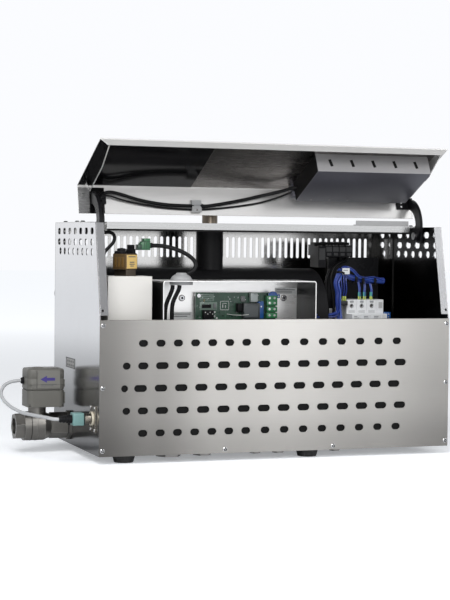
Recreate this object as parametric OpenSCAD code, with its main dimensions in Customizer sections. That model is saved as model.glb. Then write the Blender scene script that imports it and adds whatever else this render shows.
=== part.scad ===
// Steam generator with a folding lid, an insulated boiler and a motorised drain valve.
// Case frame: X to the right from the middle, Y back from the front face, Z up from the underside.

/* [Case] */
// Width of the case
case_w = 580; // [500:5:700]
// Depth of the case, front face to back face
case_d = 282; // [270:2:330]
// Height of the case without its feet
case_h = 353; // [345:1:400]
// Height of the perforated front panel
panel_h = 205; // [190:1:215]
// How far the sloping opening leans back
set_back = 33; // [26:1:42]
// Sheet thickness of the case
sheet = 1.5; // [1:0.1:2]
// Width of the folded edges
flange_w = 12; // [8:0.5:14]
// Depth of the returns folded forward from the back panel
return_d = 70; // [30:1:80]
// Front edge of the fixed top
top_front = 88; // [84:1:100]
// Height of the fixed top's front lip
top_lip = 10.5; // [6:0.5:12]
// Length of the notches that clear the hinge arms
notch_d = 37; // [34:1:50]
// Height of the rubber feet
foot_h = 12; // [8:1:30]
// Radius of the rubber feet
foot_r = 17; // [12:0.5:22]

/* [Openings] */
// Height of the round-ended front slots
slot_h = 10.5; // [7:0.5:14]
// Length of the long front slots
slot_long = 20; // [14:0.5:22]
// Length of the short front slots
slot_short = 14.5; // [12:0.5:18]
// Vertical pitch of the front rows
row_pitch = 34; // [28:1:36]
// Width of a back slot
louvre_w = 5.5; // [3:0.5:7]
// Height of a back slot
louvre_h = 35; // [20:1:45]
// Pitch of the back slots
louvre_pitch = 10.7; // [9:0.1:16]
// Number of back slots
louvre_n = 51; // [11:2:51]
// Length of a side vent
vent_l = 18; // [12:0.5:22]
// Height of a side vent
vent_h = 10; // [7:0.5:12]

/* [Lid] */
// Width of the lid
lid_w = 577; // [497:1:577]
// Depth of the lid's rear flange
lid_flange = 45; // [38:1:48]
// Gap between the closed lid and the case
lid_gap = 0.5; // [0.4:0.1:1]
// Depth of the lip along the lid's front edge
lid_lip = 11; // [6:0.5:11]
// Depth of the lid's cheeks
cheek_d = 20; // [12:1:24]
// Opening angle that the lid stands at
lid_open = 103.4; // [60:0.1:103.4]
// Hinge axis, back from the front face
pivot_y = 112; // [110:0.5:114]
// Hinge axis, down from the top face
pivot_drop = 16; // [14:0.5:18]
// Thickness of the hinge arms
arm_t = 5; // [3:0.5:5]
// Radius of the hinge pins
pin_r = 4; // [3:0.25:5]
// Running clearance of the hinge pins
pin_play = 0.06; // [0.03:0.01:0.09]
// Width of the ventilated lid box
box_w = 196; // [120:2:200]
// Depth of the lid box
box_d = 31; // [20:1:33]
// Length of the lid box along the slope
box_l = 103; // [70:1:106]

/* [Boiler] */
// Radius over the insulation
jacket_r = 80; // [60:1:82]
// Length over the insulation
jacket_l = 384; // [300:2:390]
// Insulation thickness
wool = 10; // [6:0.5:14]
// Height of the boiler axis
boiler_z = 201; // [196:1:206]
// Wall of the inner tank
tank_wall = 2; // [1.5:0.5:3]
// Outer radius of the steam pipe
steam_r = 12.7; // [10:0.1:14]
// Bore radius of the steam pipe
steam_bore = 10.9; // [8:0.1:11]
// Height of the steam outlet above the top
stub_h = 38; // [20:1:60]
// Outer radius of the riser insulation
sleeve_r = 22; // [18:0.5:26]

/* [Drain valve] */
// Height of the valve axis
valve_z = 30; // [28:0.5:42]
// Radius of the valve body
valve_r = 23; // [21:0.5:24]
// Bore radius of the valve
port_r = 11; // [8:0.5:11.5]
// Radius of the ball
ball_r = 16.5; // [16:0.1:16.8]
// Radius of the outlet thread's bore
outlet_r = 13.2; // [12:0.1:15]
// Depth of the outlet thread
outlet_l = 16; // [12:0.5:17]
// Actuator size along the wall normal
act_w = 60; // [56:1:66]
// Actuator size along the wall
act_d = 49; // [46:1:54]
// Actuator height
act_h = 62; // [58:1:70]

/* [Controls] */
// Width of the control enclosure
encl_w = 252; // [200:2:254]
// Depth of the control enclosure
encl_d = 80; // [76:1:80]
// Height of the control enclosure
encl_h = 154; // [150:1:200]
// Width of the circuit board
pcb_w = 135; // [110:1:150]
// Height of the circuit board
pcb_h = 100; // [90:1:110]
// Width of one breaker pole
pole_w = 18; // [17:0.5:18]
// Height of the breaker
breaker_h = 85; // [80:1:90]
// Size of the solenoid coil
coil_w = 27.5; // [24:0.5:28]
// Height of the solenoid coil
coil_h = 24; // [20:1:26]

/* [Cables] */
// Diameter of the valve cable
valve_cable_d = 5.5; // [4:0.5:6]
// Diameter of the lid cable
lid_cable_d = 5.5; // [4:0.5:5.5]
// Diameter of the plug cable
plug_cable_d = 6.5; // [5:0.5:7]

/* [Hidden] */

$fn = 48;
// One overrun serves every cut
cut = 1;
// Room between pieces that stay apart, and between pieces that only rest together
apart = 0.3;
inner_x = case_w/2 - sheet;
back_in = case_d - sheet;
slope = atan(set_back/(case_h - panel_h));
slope_len = (case_h - panel_h)/cos(slope);

// The whole part stands on its feet with the middle of its outline over the origin
hex_out_x = -380;
screw_head_t = 2;
nipple_out = 20;
x_lo = hex_out_x;
x_hi = case_w/2;
y_lo = -screw_head_t;
y_hi = case_d + nipple_out;
module placed() translate([-(x_lo + x_hi)/2, -(y_lo + y_hi)/2, foot_h]) children();

// Shapes that several pieces share
module block(lo, hi) translate(lo) cube(hi - lo);
module along_x(from, to, r) translate([from, 0, 0]) rotate([0, 90, 0]) cylinder(h = to - from, r = r);
module along_y(from, to, r) translate([0, from, 0]) rotate([-90, 0, 0]) cylinder(h = to - from, r = r);
module hex_x(from, to, across) translate([from, 0, 0]) rotate([0, 90, 0])
    cylinder(h = to - from, r = across/sqrt(3), $fn = 6);

// A slot with round ends that runs through along Y
module slot_y(x, z, long, high, from, to) {
    half = (long - high)/2;
    block([x - half, from, z - high/2], [x + half, to, z + high/2]);
    for (side = [-1, 1])
        translate([x + side*half, 0, z]) along_y(from, to, high/2);
}

// A rectangle with round corners, made of squares and circles so that its arcs stay true
module soft_square(size, r) {
    translate([r, 0]) square([size.x - 2*r, size.y]);
    translate([0, r]) square([size.x, size.y - 2*r]);
    for (x = [r, size.x - r], y = [r, size.y - r])
        translate([x, y]) circle(r);
}

// Points of a smooth route through the given points, steps to each span
function blend_point(a, b, c, d, t) =
    (2*b + (c - a)*t + (2*a - 5*b + 4*c - d)*t*t + (3*b - a - 3*c + d)*t*t*t)/2;
function route(p, steps) = [
    for (i = [0 : len(p) - 2], k = [0 : steps - 1])
        blend_point(p[max(i - 1, 0)], p[i], p[i + 1], p[min(i + 2, len(p) - 1)], k/steps),
    p[len(p) - 1]
];
function unit(v) = v/norm(v);
function tangents(p) = [for (i = [0 : len(p) - 1]) unit(p[min(i + 1, len(p) - 1)] - p[max(i - 1, 0)])];
function upright(t) = abs(t.z) < 0.9 ? unit(cross(t, [0, 0, 1])) : unit(cross(t, [0, 1, 0]));
function carried(t, n) = unit(n - t*(n*t));
function normals(t, i = 0, made = []) = i == len(t) ? made
    : normals(t, i + 1, concat(made, [i == 0 ? upright(t[0]) : carried(t[i], made[i - 1])]));

// A round tube swept along the points
module tube(p, r, sides) {
    t = tangents(p);
    n = normals(t);
    last = len(p) - 1;
    ring = [for (i = [0 : last], k = [0 : sides - 1])
        p[i] + r*(n[i]*cos(360*k/sides) + cross(t[i], n[i])*sin(360*k/sides))];
    walls = [for (i = [0 : last - 1], k = [0 : sides - 1])
        let (a = i*sides + k, b = i*sides + (k + 1)%sides)
            each [[a, b + sides, b], [a, a + sides, b + sides]]];
    caps = [for (k = [1 : sides - 2])
        each [[0, k, k + 1], [last*sides, last*sides + k + 1, last*sides + k]]];
    polyhedron(points = ring, faces = concat(walls, caps), convexity = 6);
}

// Lid geometry. A distance d is measured outwards from the outline of the case
lid_foot_z = panel_h + 3;
function slope_y(z, d) = set_back - (case_h - z)*tan(slope) - d/cos(slope);
function bend_y(d) = set_back + d*tan(slope) - d/cos(slope);
pivot_z = case_h - pivot_drop;
module lid_pose() translate([0, pivot_y, pivot_z]) rotate([-lid_open, 0, 0])
    translate([0, -pivot_y, -pivot_z]) children();
// Local frame of the slope: Y points into the case and Z runs up the slope
module on_slope() translate([0, slope_y(lid_foot_z, 0), lid_foot_z]) rotate([-slope, 0, 0]) children();

// Screws of the front panel
front_screw_x = case_w/2 - 5;
front_screw_low = 9;
front_screw_high = panel_h - 8;
front_screws = [
    for (side = [-1, 1], z = [front_screw_low, (front_screw_low + front_screw_high)/2, front_screw_high])
        [side*front_screw_x, z]
];
screw_r = 1.8;
screw_hole_r = 2;
screw_head_r = 3.6;
screw_l = 7;

module base_tray() color("silver") placed() {
    difference() {
        block([-inner_x, sheet, 0], [inner_x, back_in, sheet]);
        for (g = glands)
            translate([g.x, gland_y, -cut]) cylinder(h = sheet + 2*cut, r = g.y*gland_neck_share);
        for (f = feet)
            translate([f.x, f.y, -cut]) cylinder(h = sheet + 2*cut, r = foot_bolt_r + apart);
    }
}

// Places of the feet and of the glands along the front of the underside
foot_in = 30;
feet = [[-243, foot_in], [58, foot_in], [243, case_d - foot_in], [-243, case_d - foot_in]];
foot_bolt_r = 3;
foot_bolt_l = 6;
gland_y = 36;
gland_drop = 6;
gland_neck_share = 0.36;
gland_bore_share = 0.2;
// Each gland as its place along X and its width
glands = [[-170, 40], [-115, 29], [-27, 18], [11, 20], [108, 18]];

module rubber_feet() color("black") placed() {
    rim = foot_r*0.88;
    for (f = feet) translate([f.x, f.y, 0]) rotate_extrude()
        polygon([[0, -foot_h], [rim, -foot_h], [foot_r, -foot_h/3], [foot_r, 0], [foot_bolt_r, 0],
            [foot_bolt_r, foot_bolt_l], [0, foot_bolt_l]]);
}

module cable_glands() color("dimgray") placed() {
    for (g = glands) translate([g.x, gland_y, 0]) {
        neck = g.y*gland_neck_share - apart;
        difference() {
            union() {
                translate([0, 0, -gland_drop]) cylinder(h = gland_drop, r = g.y/2, $fn = 6);
                cylinder(h = sheet + gland_drop, r = neck);
                translate([0, 0, sheet + apart]) cylinder(h = gland_drop/2, r = g.y*0.45);
            }
            translate([0, 0, -gland_drop - cut]) cylinder(h = 4*gland_drop, r = g.y*gland_bore_share);
        }
    }
}

// Side vents: places back from the front, for the three rows
vent_first = 50;
vent_pitch = 34;
vent_fine_pitch = 28;
vent_rows_down = [14.5, 31.5, 46.5];
module vents(from, to) {
    for (k = [0 : 6], down = [vent_rows_down[0], vent_rows_down[1]])
        side_vent(vent_first + vent_pitch*k, case_h - down, vent_l, vent_h, from, to);
    for (k = [0 : 7])
        side_vent(vent_first + vent_fine_pitch*k, case_h - vent_rows_down[2], vent_l*0.72, vent_h*1.1, from, to);
}
module side_vent(y, z, long, high, from, to) {
    half = (long - high)/2;
    block([from, y - half, z - high/2], [to, y + half, z + high/2]);
    for (side = [-1, 1])
        translate([0, y + side*half, z]) along_x(from, to, high/2);
}

// A side panel with its folded edges, for the right side
tab_z = panel_h + 7;
module side_shell(top_edge_from) {
    wall_top = case_h - sheet;
    low_y = slope_y(panel_h, 0) + sheet;
    difference() {
        union() {
            translate([inner_x, 0, 0]) rotate([90, 0, 90]) linear_extrude(sheet)
                polygon([[sheet, 0], [back_in, 0], [back_in, wall_top], [bend_y(0), wall_top],
                    [low_y, panel_h], [sheet, panel_h]]);
            // Edge behind the front panel
            block([inner_x - flange_w, sheet, sheet], [inner_x, 2*sheet, panel_h - sheet]);
            // Edge along the slope, above the tab's foot
            intersection() {
                translate([inner_x - flange_w, slope_y(panel_h, 0), panel_h]) rotate([-slope, 0, 0])
                    cube([flange_w, sheet, slope_len]);
                block([inner_x - flange_w - cut, 0, tab_z], [inner_x, case_d, wall_top]);
            }
            block([inner_x - flange_w, top_edge_from, wall_top - sheet], [inner_x, back_in, wall_top]);
        }
        vents(inner_x - cut, case_w/2 + cut);
        for (z = [for (s = front_screws) if (s.x > 0) s.y])
            translate([front_screw_x, 0, z]) along_y(0, 3*sheet, screw_hole_r);
        translate([front_screw_x, 0, panel_h + 14])
            along_y(0, set_back, screw_hole_r);
        for (y = top_screw_ys)
            translate([top_screw_x, y, case_h - 3*sheet - cut])
                cylinder(h = 3*sheet, r = screw_hole_r);
    }
}

arm_gap_from = 44;
top_screw_x = case_w/2 - 7;
top_screw_ys = [132, 167, 241];
module right_side_panel() color("gainsboro") placed() side_shell(top_front + notch_d);

module left_side_panel() color("gainsboro") placed() difference() {
    mirror([1, 0, 0]) side_shell(arm_gap_from);
    translate([0, drain_y, valve_z]) along_x(-case_w/2 - cut, -inner_x + cut, drain_r + apart);
    translate([0, socket_y, socket_z]) along_x(-case_w/2 - cut, -inner_x + cut, socket_r + apart);
}

louvre_top = case_h - 21;
module back_panel() color("gainsboro") placed() {
    height = case_h - sheet;
    difference() {
        union() {
            block([-case_w/2, back_in, 0], [case_w/2, case_d, height]);
            for (side = [0, 1]) mirror([side, 0, 0])
                block([inner_x - sheet, back_in - return_d, sheet], [inner_x, back_in, height - 2*sheet]);
        }
        for (k = [0 : louvre_n - 1]) {
            x = (k - (louvre_n - 1)/2)*louvre_pitch;
            block([x - louvre_w/2, back_in - cut, louvre_top - louvre_h + louvre_w/2],
                [x + louvre_w/2, case_d + cut, louvre_top - louvre_w/2]);
            for (z = [louvre_top - louvre_w/2, louvre_top - louvre_h + louvre_w/2])
                translate([x, 0, z]) along_y(back_in - cut, case_d + cut, louvre_w/2);
        }
        for (side = [0, 1]) mirror([side, 0, 0])
            intersection() {
                vents(inner_x - sheet - cut, inner_x + cut);
                block([0, back_in - return_d + vent_l*0.6, 0], [case_w, back_in - sheet, case_h]);
            }
        translate([inlet_x, 0, inlet_z]) along_y(back_in - cut, case_d + cut, inlet_r + apart);
    }
}

notch_x = case_w/2 - 30;
cable_notch = 3.5;
module top_panel() color("gainsboro") placed() {
    low = case_h - sheet;
    difference() {
        union() {
            block([cable_notch - notch_x, top_front, low], [notch_x, top_front + notch_d, case_h]);
            block([-case_w/2, top_front + notch_d, low], [case_w/2, case_d, case_h]);
            block([cable_notch - notch_x, top_front, case_h - top_lip], [notch_x, top_front + sheet, case_h]);
        }
        translate([riser_x, boiler_y, low - cut]) cylinder(h = sheet + 2*cut, r = steam_r + apart);
        for (side = [-1, 1], y = top_screw_ys)
            translate([side*top_screw_x, y, low - cut]) cylinder(h = sheet + 2*cut, r = screw_hole_r);
        for (x = strip_screw_xs)
            translate([x, strip_screw_y, low - cut]) cylinder(h = sheet + 2*cut, r = screw_hole_r);
    }
}

// The low strip on the fixed top that the open lid's flange stops over
strip_from = 165;
strip_to = 259;
strip_h = 8;
strip_y = top_front + 3;
strip_foot = 11;
strip_screw_xs = [205, 228, 240];
strip_screw_y = strip_y + 7;
module lid_rest_strip() color("gray") placed() difference() {
    union() {
        block([strip_from, strip_y, case_h], [strip_to, strip_y + sheet, case_h + strip_h]);
        block([strip_from, strip_y, case_h], [strip_to, strip_y + strip_foot, case_h + sheet]);
    }
    for (x = strip_screw_xs)
        translate([x, strip_screw_y, case_h - cut]) cylinder(h = sheet + 2*cut, r = screw_hole_r);
}

// Front slots: rows down from the top, and how each row starts and goes on
first_row_z = panel_h - 35;
outer_row = [-222, 27.6, 7, -24.5, 31.75, 8];
middle_row = [-226, 32.25, 14];
next_row = [-192, 33, 13];
short_slot_xs = [-248, -222];
round_slot_x = -251;
module front_slots() {
    for (z = [first_row_z, first_row_z - 4*row_pitch]) {
        for (k = [0 : outer_row[2] - 1])
            front_slot(outer_row[0] + k*outer_row[1], z, slot_short);
        for (k = [0 : outer_row[5] - 1])
            front_slot(outer_row[3] + k*outer_row[4], z, slot_short);
    }
    for (z = [first_row_z - row_pitch, first_row_z - 3*row_pitch]) {
        front_slot(short_slot_xs[0], z, slot_h + 1.5);
        front_slot(short_slot_xs[1], z, slot_short + 1.5);
        for (k = [0 : next_row[2] - 1])
            front_slot(next_row[0] + k*next_row[1], z, slot_long);
    }
    front_slot(round_slot_x, first_row_z - 2*row_pitch, slot_h + 0.1);
    for (k = [0 : middle_row[2] - 1])
        front_slot(middle_row[0] + k*middle_row[1], first_row_z - 2*row_pitch, slot_long);
}
module front_slot(x, z, long) slot_y(x, z, long, slot_h, -cut, sheet + cut);

bottom_screw_x = 90;
bottom_screw_z = 6;
module front_panel() color("lightgray") placed() difference() {
    union() {
        block([-case_w/2, 0, 0], [case_w/2, sheet, panel_h]);
        edge = inner_x - flange_w - apart;
        block([-edge, 0, panel_h - sheet], [edge, flange_w, panel_h]);
    }
    front_slots();
    for (s = front_screws)
        translate([s.x, 0, s.y]) along_y(-cut, sheet + cut, screw_hole_r);
    for (side = [-1, 1])
        translate([side*bottom_screw_x, 0, bottom_screw_z]) along_y(-cut, sheet + cut, screw_hole_r);
}

// A pan-head screw at the origin that goes in along +Y
module screw_y(l) {
    rotate([90, 0, 0]) rotate_extrude()
        polygon([[0, -l], [screw_r, -l], [screw_r, 0], [screw_head_r, 0], [screw_head_r, screw_head_t/2],
            [screw_head_r*0.7, screw_head_t], [0, screw_head_t]]);
}
module case_screws() color("black") placed() {
    for (s = front_screws)
        translate([s.x, 0, s.y]) screw_y(screw_l);
    for (side = [-1, 1])
        translate([side*bottom_screw_x, 0, bottom_screw_z]) screw_y(screw_l);
    for (side = [-1, 1], y = top_screw_ys)
        translate([side*top_screw_x, y, case_h]) rotate([-90, 0, 0]) screw_y(screw_l);
    for (x = strip_screw_xs)
        translate([x, strip_screw_y, case_h + sheet]) rotate([-90, 0, 0]) screw_y(screw_l);
}

// Gooseneck hinge: a quarter ring that runs under the fixed top's front edge when the lid is shut
arm_ring_y = pivot_y - 20;
arm_ring_z = pivot_z + 19;
arm_in = 29;
arm_out = 46;
arm_boss_r = 9;
arm_from = 193.4;
arm_to = 283.4;
arm_pad = 24;
left_arm_x = -268;
right_arm_x = 279.2;
// Outline in the Y-Z plane, seen from +X
module arm_outline() {
    translate([arm_ring_y, arm_ring_z]) difference() {
        intersection() {
            circle(arm_out);
            far = 2*arm_out;
            polygon([[0, 0], far*[cos(arm_from), sin(arm_from)],
                far*[cos((arm_from + arm_to)/2), sin((arm_from + arm_to)/2)],
                far*[cos(arm_to), sin(arm_to)]]);
        }
        circle(arm_in);
    }
    // Pad that reaches up to the lid's flange
    foot = [arm_ring_y - arm_out, arm_ring_z - arm_out*0.32];
    translate(foot) square([arm_out - arm_in, case_h + lid_gap - foot.y]);
    hull() {
        translate([arm_ring_y, arm_ring_z] + (arm_in + arm_out)/2*[cos(arm_to), sin(arm_to)])
            circle((arm_out - arm_in)/2, $fn = 32);
        translate([pivot_y, pivot_z]) circle(arm_boss_r, $fn = 32);
    }
}
module hinge_arm(x, tab_side) {
    pad_y = arm_ring_y - arm_out;
    pad_z = case_h + lid_gap;
    difference() {
        union() {
            translate([x, 0, 0]) rotate([90, 0, 90]) linear_extrude(arm_t) arm_outline();
            translate([x + (tab_side > 0 ? 0 : arm_t - arm_pad), pad_y, pad_z - arm_tab_t])
                cube([arm_pad, arm_out - arm_in, arm_tab_t]);
        }
        translate([0, pivot_y, pivot_z]) along_x(x - cut, x + arm_t + cut, pin_r + pin_play);
        for (k = [0.3, 0.7])
            translate([x + arm_t/2 + tab_side*arm_pad*0.55, pad_y + (arm_out - arm_in)*k, pad_z - arm_tab_t - cut])
                cylinder(h = arm_tab_t + 2*cut, r = screw_hole_r);
    }
}
arm_tab_t = 3;
module hinge_arms() color("black") placed() lid_pose() {
    hinge_arm(left_arm_x, 1);
    hinge_arm(right_arm_x, -1);
}

bracket_t = 3;
bracket_back = 44;
bracket_front = 14;
bracket_half = 12;
module hinge_brackets() color("black") placed() {
    low = [pivot_y - bracket_front, pivot_z - bracket_half];
    high = [pivot_y + bracket_back, pivot_z + bracket_half];
    difference() {
        block([inner_x - bracket_t, low.x, low.y], [inner_x, high.x, high.y]);
        translate([0, pivot_y, pivot_z]) along_x(inner_x - bracket_t - cut, inner_x + cut, pin_r + pin_play/2);
        vents(inner_x - bracket_t - cut, inner_x + cut);
    }
    difference() {
        union() {
            block([-inner_x, low.x, low.y], [-inner_x + bracket_t, high.x, high.y]);
            translate([0, pivot_y, pivot_z]) along_x(-inner_x, left_arm_x - apart, 2*pin_r);
        }
        translate([0, pivot_y, pivot_z]) along_x(-inner_x - cut, left_arm_x + cut, pin_r + pin_play/2);
        mirror([1, 0, 0]) difference() {
            vents(inner_x - bracket_t - cut, inner_x + cut);
            translate([0, pivot_y, pivot_z]) along_x(0, case_w, 2*pin_r);
        }
    }
}

pin_head_t = 1.5;
module hinge_pins() color("darkgray") placed() translate([0, pivot_y, pivot_z]) {
    along_x(right_arm_x - apart - pin_head_t, inner_x, pin_r);
    along_x(right_arm_x - apart - pin_head_t, right_arm_x - apart, pin_r + 2);
    along_x(-inner_x, left_arm_x + arm_t + apart + pin_head_t, pin_r);
    along_x(left_arm_x + arm_t + apart, left_arm_x + arm_t + apart + pin_head_t, pin_r + 2);
}

// The folded lid: slope, rear flange, mitred lip and two cheeks
module lid_shell() color("gainsboro") placed() lid_pose() difference() {
    near = lid_gap;
    far = lid_gap + sheet;
    end_y = set_back + lid_flange;
    union() {
        translate([-lid_w/2, 0, 0]) rotate([90, 0, 90]) linear_extrude(lid_w)
            polygon([[slope_y(lid_foot_z, far), lid_foot_z], [bend_y(far), case_h + far],
                [end_y, case_h + far], [end_y, case_h + near], [bend_y(near), case_h + near],
                [slope_y(lid_foot_z, near), lid_foot_z]]);
        on_slope() {
            // Lip with mitred ends
            linear_extrude(sheet) polygon([[-lid_w/2, -far], [lid_w/2, -far],
                [lid_w/2 - lid_lip, lid_lip - far], [lid_lip - lid_w/2, lid_lip - far]]);
            for (side = [0, 1]) mirror([side, 0, 0])
                translate([cheek_x - sheet, 0, 0]) rotate([90, 0, 90]) linear_extrude(sheet)
                    polygon([[-near, 0], [lid_lip - far, 0], [cheek_d, slope_len/3],
                        [cheek_d, slope_len - 2*lid_lip], [-near, slope_len - lid_lip]]);
        }
    }
    for (k = [0.3, 0.7], x = [left_arm_x + arm_t/2 + arm_pad*0.55, right_arm_x + arm_t/2 - arm_pad*0.55])
        translate([x, arm_ring_y - arm_out + (arm_out - arm_in)*k, case_h])
            cylinder(h = far + cut, r = screw_hole_r);
}
cheek_x = inner_x - flange_w - 0.5;

// Ventilated box on the inside of the lid's slope
box_x = 68;
box_from = 25;
box_slot_n = 5;
box_slot_pitch = 37;
box_slot = [5, 12.5];
box_slot_lean = -12;
box_step = 9;
module lid_box() color("gray") placed() lid_pose() on_slope() difference() {
    low = -lid_gap;
    union() {
        block([box_x, low, box_from], [box_x + box_w, box_d, box_from + box_l]);
        block([box_x - box_step/2, low, box_from + box_l - sheet],
            [box_x + box_w - box_step, box_d - box_step, box_from + box_l + box_step]);
    }
    block([box_x + sheet, low - cut, box_from + sheet],
        [box_x + box_w - sheet, box_d - sheet, box_from + box_l - sheet]);
    block([box_x - box_step/2 + sheet, low - cut, box_from + box_l - sheet],
        [box_x + box_w - box_step - sheet, box_d - box_step - sheet, box_from + box_l + box_step - sheet]);
    for (k = [0 : box_slot_n - 1])
        translate([box_x + box_w/2 + (k - (box_slot_n - 1)/2)*box_slot_pitch, box_d/2, box_from - cut])
            rotate([0, 0, box_slot_lean]) translate([-box_slot.x/2, -box_slot.y/2, 0])
                cube([box_slot.x, box_slot.y, sheet + 2*cut]);
    translate([0, box_d*0.39, box_from + box_l*0.9])
        along_x(box_x - cut, box_x + 2*sheet, lid_cable_d/2 + 1.5);
}

// Boiler
boiler_y = 179;
jacket_x = -262;
riser_x = -57;
tank_r = jacket_r - wool;
tank_x = jacket_x + wool;
tank_l = jacket_l - wool;
module boiler_jacket() color("#202020") placed() difference() {
    translate([0, boiler_y, boiler_z]) along_x(jacket_x, jacket_x + jacket_l, jacket_r);
    translate([0, boiler_y, boiler_z]) along_x(jacket_x + wool - apart, jacket_x + jacket_l + cut, tank_r + apart);
    translate([riser_x, boiler_y, boiler_z]) cylinder(h = 2*jacket_r, r = steam_r + apart);
    translate([drain_x, boiler_y, boiler_z - 2*jacket_r]) cylinder(h = 2*jacket_r, r = drain_r + apart);
    for (x = inlet_ports)
        translate([x, 0, boiler_z]) along_y(0, boiler_y, inlet_r + apart);
}

heater_bore = 34;
// The stub above the top is this much fuller than the pipe below it
riser_step = 0.4;
module boiler_tank() color("silver") placed() difference() {
    union() {
        translate([0, boiler_y, boiler_z]) along_x(tank_x, tank_x + tank_l, tank_r);
        translate([riser_x, boiler_y, boiler_z + tank_r - wool])
            cylinder(h = case_h + stub_h - boiler_z - tank_r + wool, r = steam_r - riser_step);
        translate([riser_x, boiler_y, case_h + riser_step*5])
            cylinder(h = stub_h - riser_step*5, r = steam_r);
    }
    translate([0, boiler_y, boiler_z]) {
        along_x(tank_x + tank_wall, tank_x + tank_l - tank_wall, tank_r - tank_wall);
        along_x(tank_x + tank_l/2, tank_x + tank_l + cut, heater_bore + apart);
    }
    translate([riser_x, boiler_y, boiler_z]) cylinder(h = 2*case_h, r = steam_bore);
    translate([drain_x, boiler_y, boiler_z - 2*tank_r]) cylinder(h = 2*tank_r, r = drain_bore);
    translate([inlet_ports[0], 0, boiler_z]) along_y(0, boiler_y, inlet_r + apart);
}

// Heater plug: a flange, three hairpin elements and their terminals
rod_r = 4;
rod_l = 300;
rod_spread = 12;
plug_t = 8;
module heating_elements() color("dimgray") placed() translate([0, boiler_y, boiler_z]) {
    face = tank_x + tank_l;
    difference() {
        union() {
            along_x(face + apart, face + plug_t, heater_bore + 8);
            along_x(face - 2*tank_wall, face + apart, heater_bore);
        }
        for (turn = [0, 120, 240]) rotate([turn, 0, 0])
            for (side = [-1, 1]) translate([0, side*rod_spread/1.2, 20])
                along_x(face - 3*tank_wall, face + plug_t + cut, rod_r);
    }
    for (turn = [0, 120, 240]) rotate([turn, 0, 0]) translate([0, 0, 20]) {
        for (side = [-1, 1]) translate([0, side*rod_spread/1.2, 0])
            along_x(face - rod_l, face + plug_t + 6, rod_r);
        translate([face - rod_l, 0, 0]) rotate([0, 0, 90]) rotate([0, 0, 0])
            rotate_extrude(angle = 180) translate([rod_spread/1.2, 0]) circle(rod_r);
    }
}

// Cradles under the boiler, each round a window that the drain pipe passes
cradle_w = 20;
cradle_xs = [-225, 60];
cradle_half = 50;
cradle_edge = 3;
module boiler_cradles() color("darkgray") placed() for (x = cradle_xs) difference() {
    block([x, boiler_y - cradle_half, sheet], [x + cradle_w, boiler_y + cradle_half, boiler_z]);
    translate([0, boiler_y, boiler_z]) along_x(x - cut, x + cradle_w + cut, jacket_r + apart/3);
    block([x - cut, boiler_y - cradle_half + cradle_edge, sheet + cradle_edge],
        [x + cradle_w + cut, boiler_y + cradle_half - cradle_edge, boiler_z - jacket_r - 2*cradle_edge]);
}

// Folded legs under the enclosure
leg_w = 28;
leg_xs = [-95, 23];
leg_in = 10;
module enclosure_legs() color("darkgray") placed() for (x = leg_xs) difference() {
    block([x, encl_y + leg_in, sheet], [x + leg_w, encl_y + encl_d - leg_in, encl_z]);
    block([x - cut, encl_y + leg_in + sheet, 2*sheet],
        [x + leg_w + cut, encl_y + encl_d - leg_in - sheet, encl_z - sheet]);
}

module riser_sleeve() color("#202020") placed() translate([riser_x, boiler_y, 0]) difference() {
    translate([0, 0, boiler_z]) cylinder(h = case_h - 2*sheet - boiler_z, r = sleeve_r);
    translate([0, 0, boiler_z - cut]) cylinder(h = case_h, r = steam_r + apart/2);
    translate([0, 0, boiler_z]) along_x(-2*sleeve_r, 2*sleeve_r, jacket_r + apart/3);
}

drain_y = boiler_y;
drain_x = -180;
drain_r = 13;
drain_bore = 11;
elbow_r = 26;
module drain_pipe() color("silver") placed() translate([0, drain_y, 0]) {
    top = boiler_z - tank_r - apart;
    difference() {
        union() {
            translate([drain_x, 0, valve_z + elbow_r]) cylinder(h = top - valve_z - elbow_r, r = drain_r);
            translate([drain_x - elbow_r, 0, valve_z + elbow_r]) rotate([90, 0, 0]) rotate([0, 0, -90])
                rotate_extrude(angle = 90) translate([elbow_r, 0]) circle(drain_r);
            translate([0, 0, valve_z]) along_x(tail_in_x, drain_x - elbow_r, drain_r);
        }
        translate([drain_x, 0, valve_z + elbow_r - apart]) cylinder(h = top - valve_z, r = drain_bore);
        translate([drain_x - elbow_r, 0, valve_z + elbow_r]) rotate([90, 0, 0]) rotate([0, 0, -90])
            rotate_extrude(angle = 90) translate([elbow_r, 0]) circle(drain_bore);
        translate([0, 0, valve_z]) along_x(tail_in_x - cut, drain_x - elbow_r + apart, drain_bore);
    }
}

nut_across = 40;
nut_t = 6;
module bulkhead_fitting() color("silver") placed() translate([0, drain_y, valve_z]) difference() {
    union() {
        hex_x(-case_w/2 - nut_t, -case_w/2, nut_across);
        hex_x(-inner_x, -inner_x + nut_t, nut_across);
    }
    along_x(-case_w/2 - nut_t - cut, -inner_x + nut_t + cut, drain_r + apart/3);
}

// Feed box and water inlet
feed_x = -267;
feed_y = 40;
feed_w = 70;
feed_d = 52;
feed_top = 270;
module feed_box() color("whitesmoke") placed() difference() {
    block([feed_x, feed_y, sheet], [feed_x + feed_w, feed_y + feed_d, feed_top]);
    block([feed_x + sheet, feed_y + sheet, sheet - cut],
        [feed_x + feed_w - sheet, feed_y + feed_d - sheet, feed_top - sheet]);
    translate([0, feed_pipe_y, inlet_z]) along_x(feed_x - cut, feed_x + 2*sheet, inlet_r + apart/3);
    translate([coil_x, coil_y, feed_top - 2*sheet]) cylinder(h = 3*sheet, r = valve_neck_r + apart/3);
    for (x = inlet_ports)
        translate([x, 0, boiler_z]) along_y(feed_y + feed_d/2, feed_y + feed_d + cut, inlet_r + apart/3);
}

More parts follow.
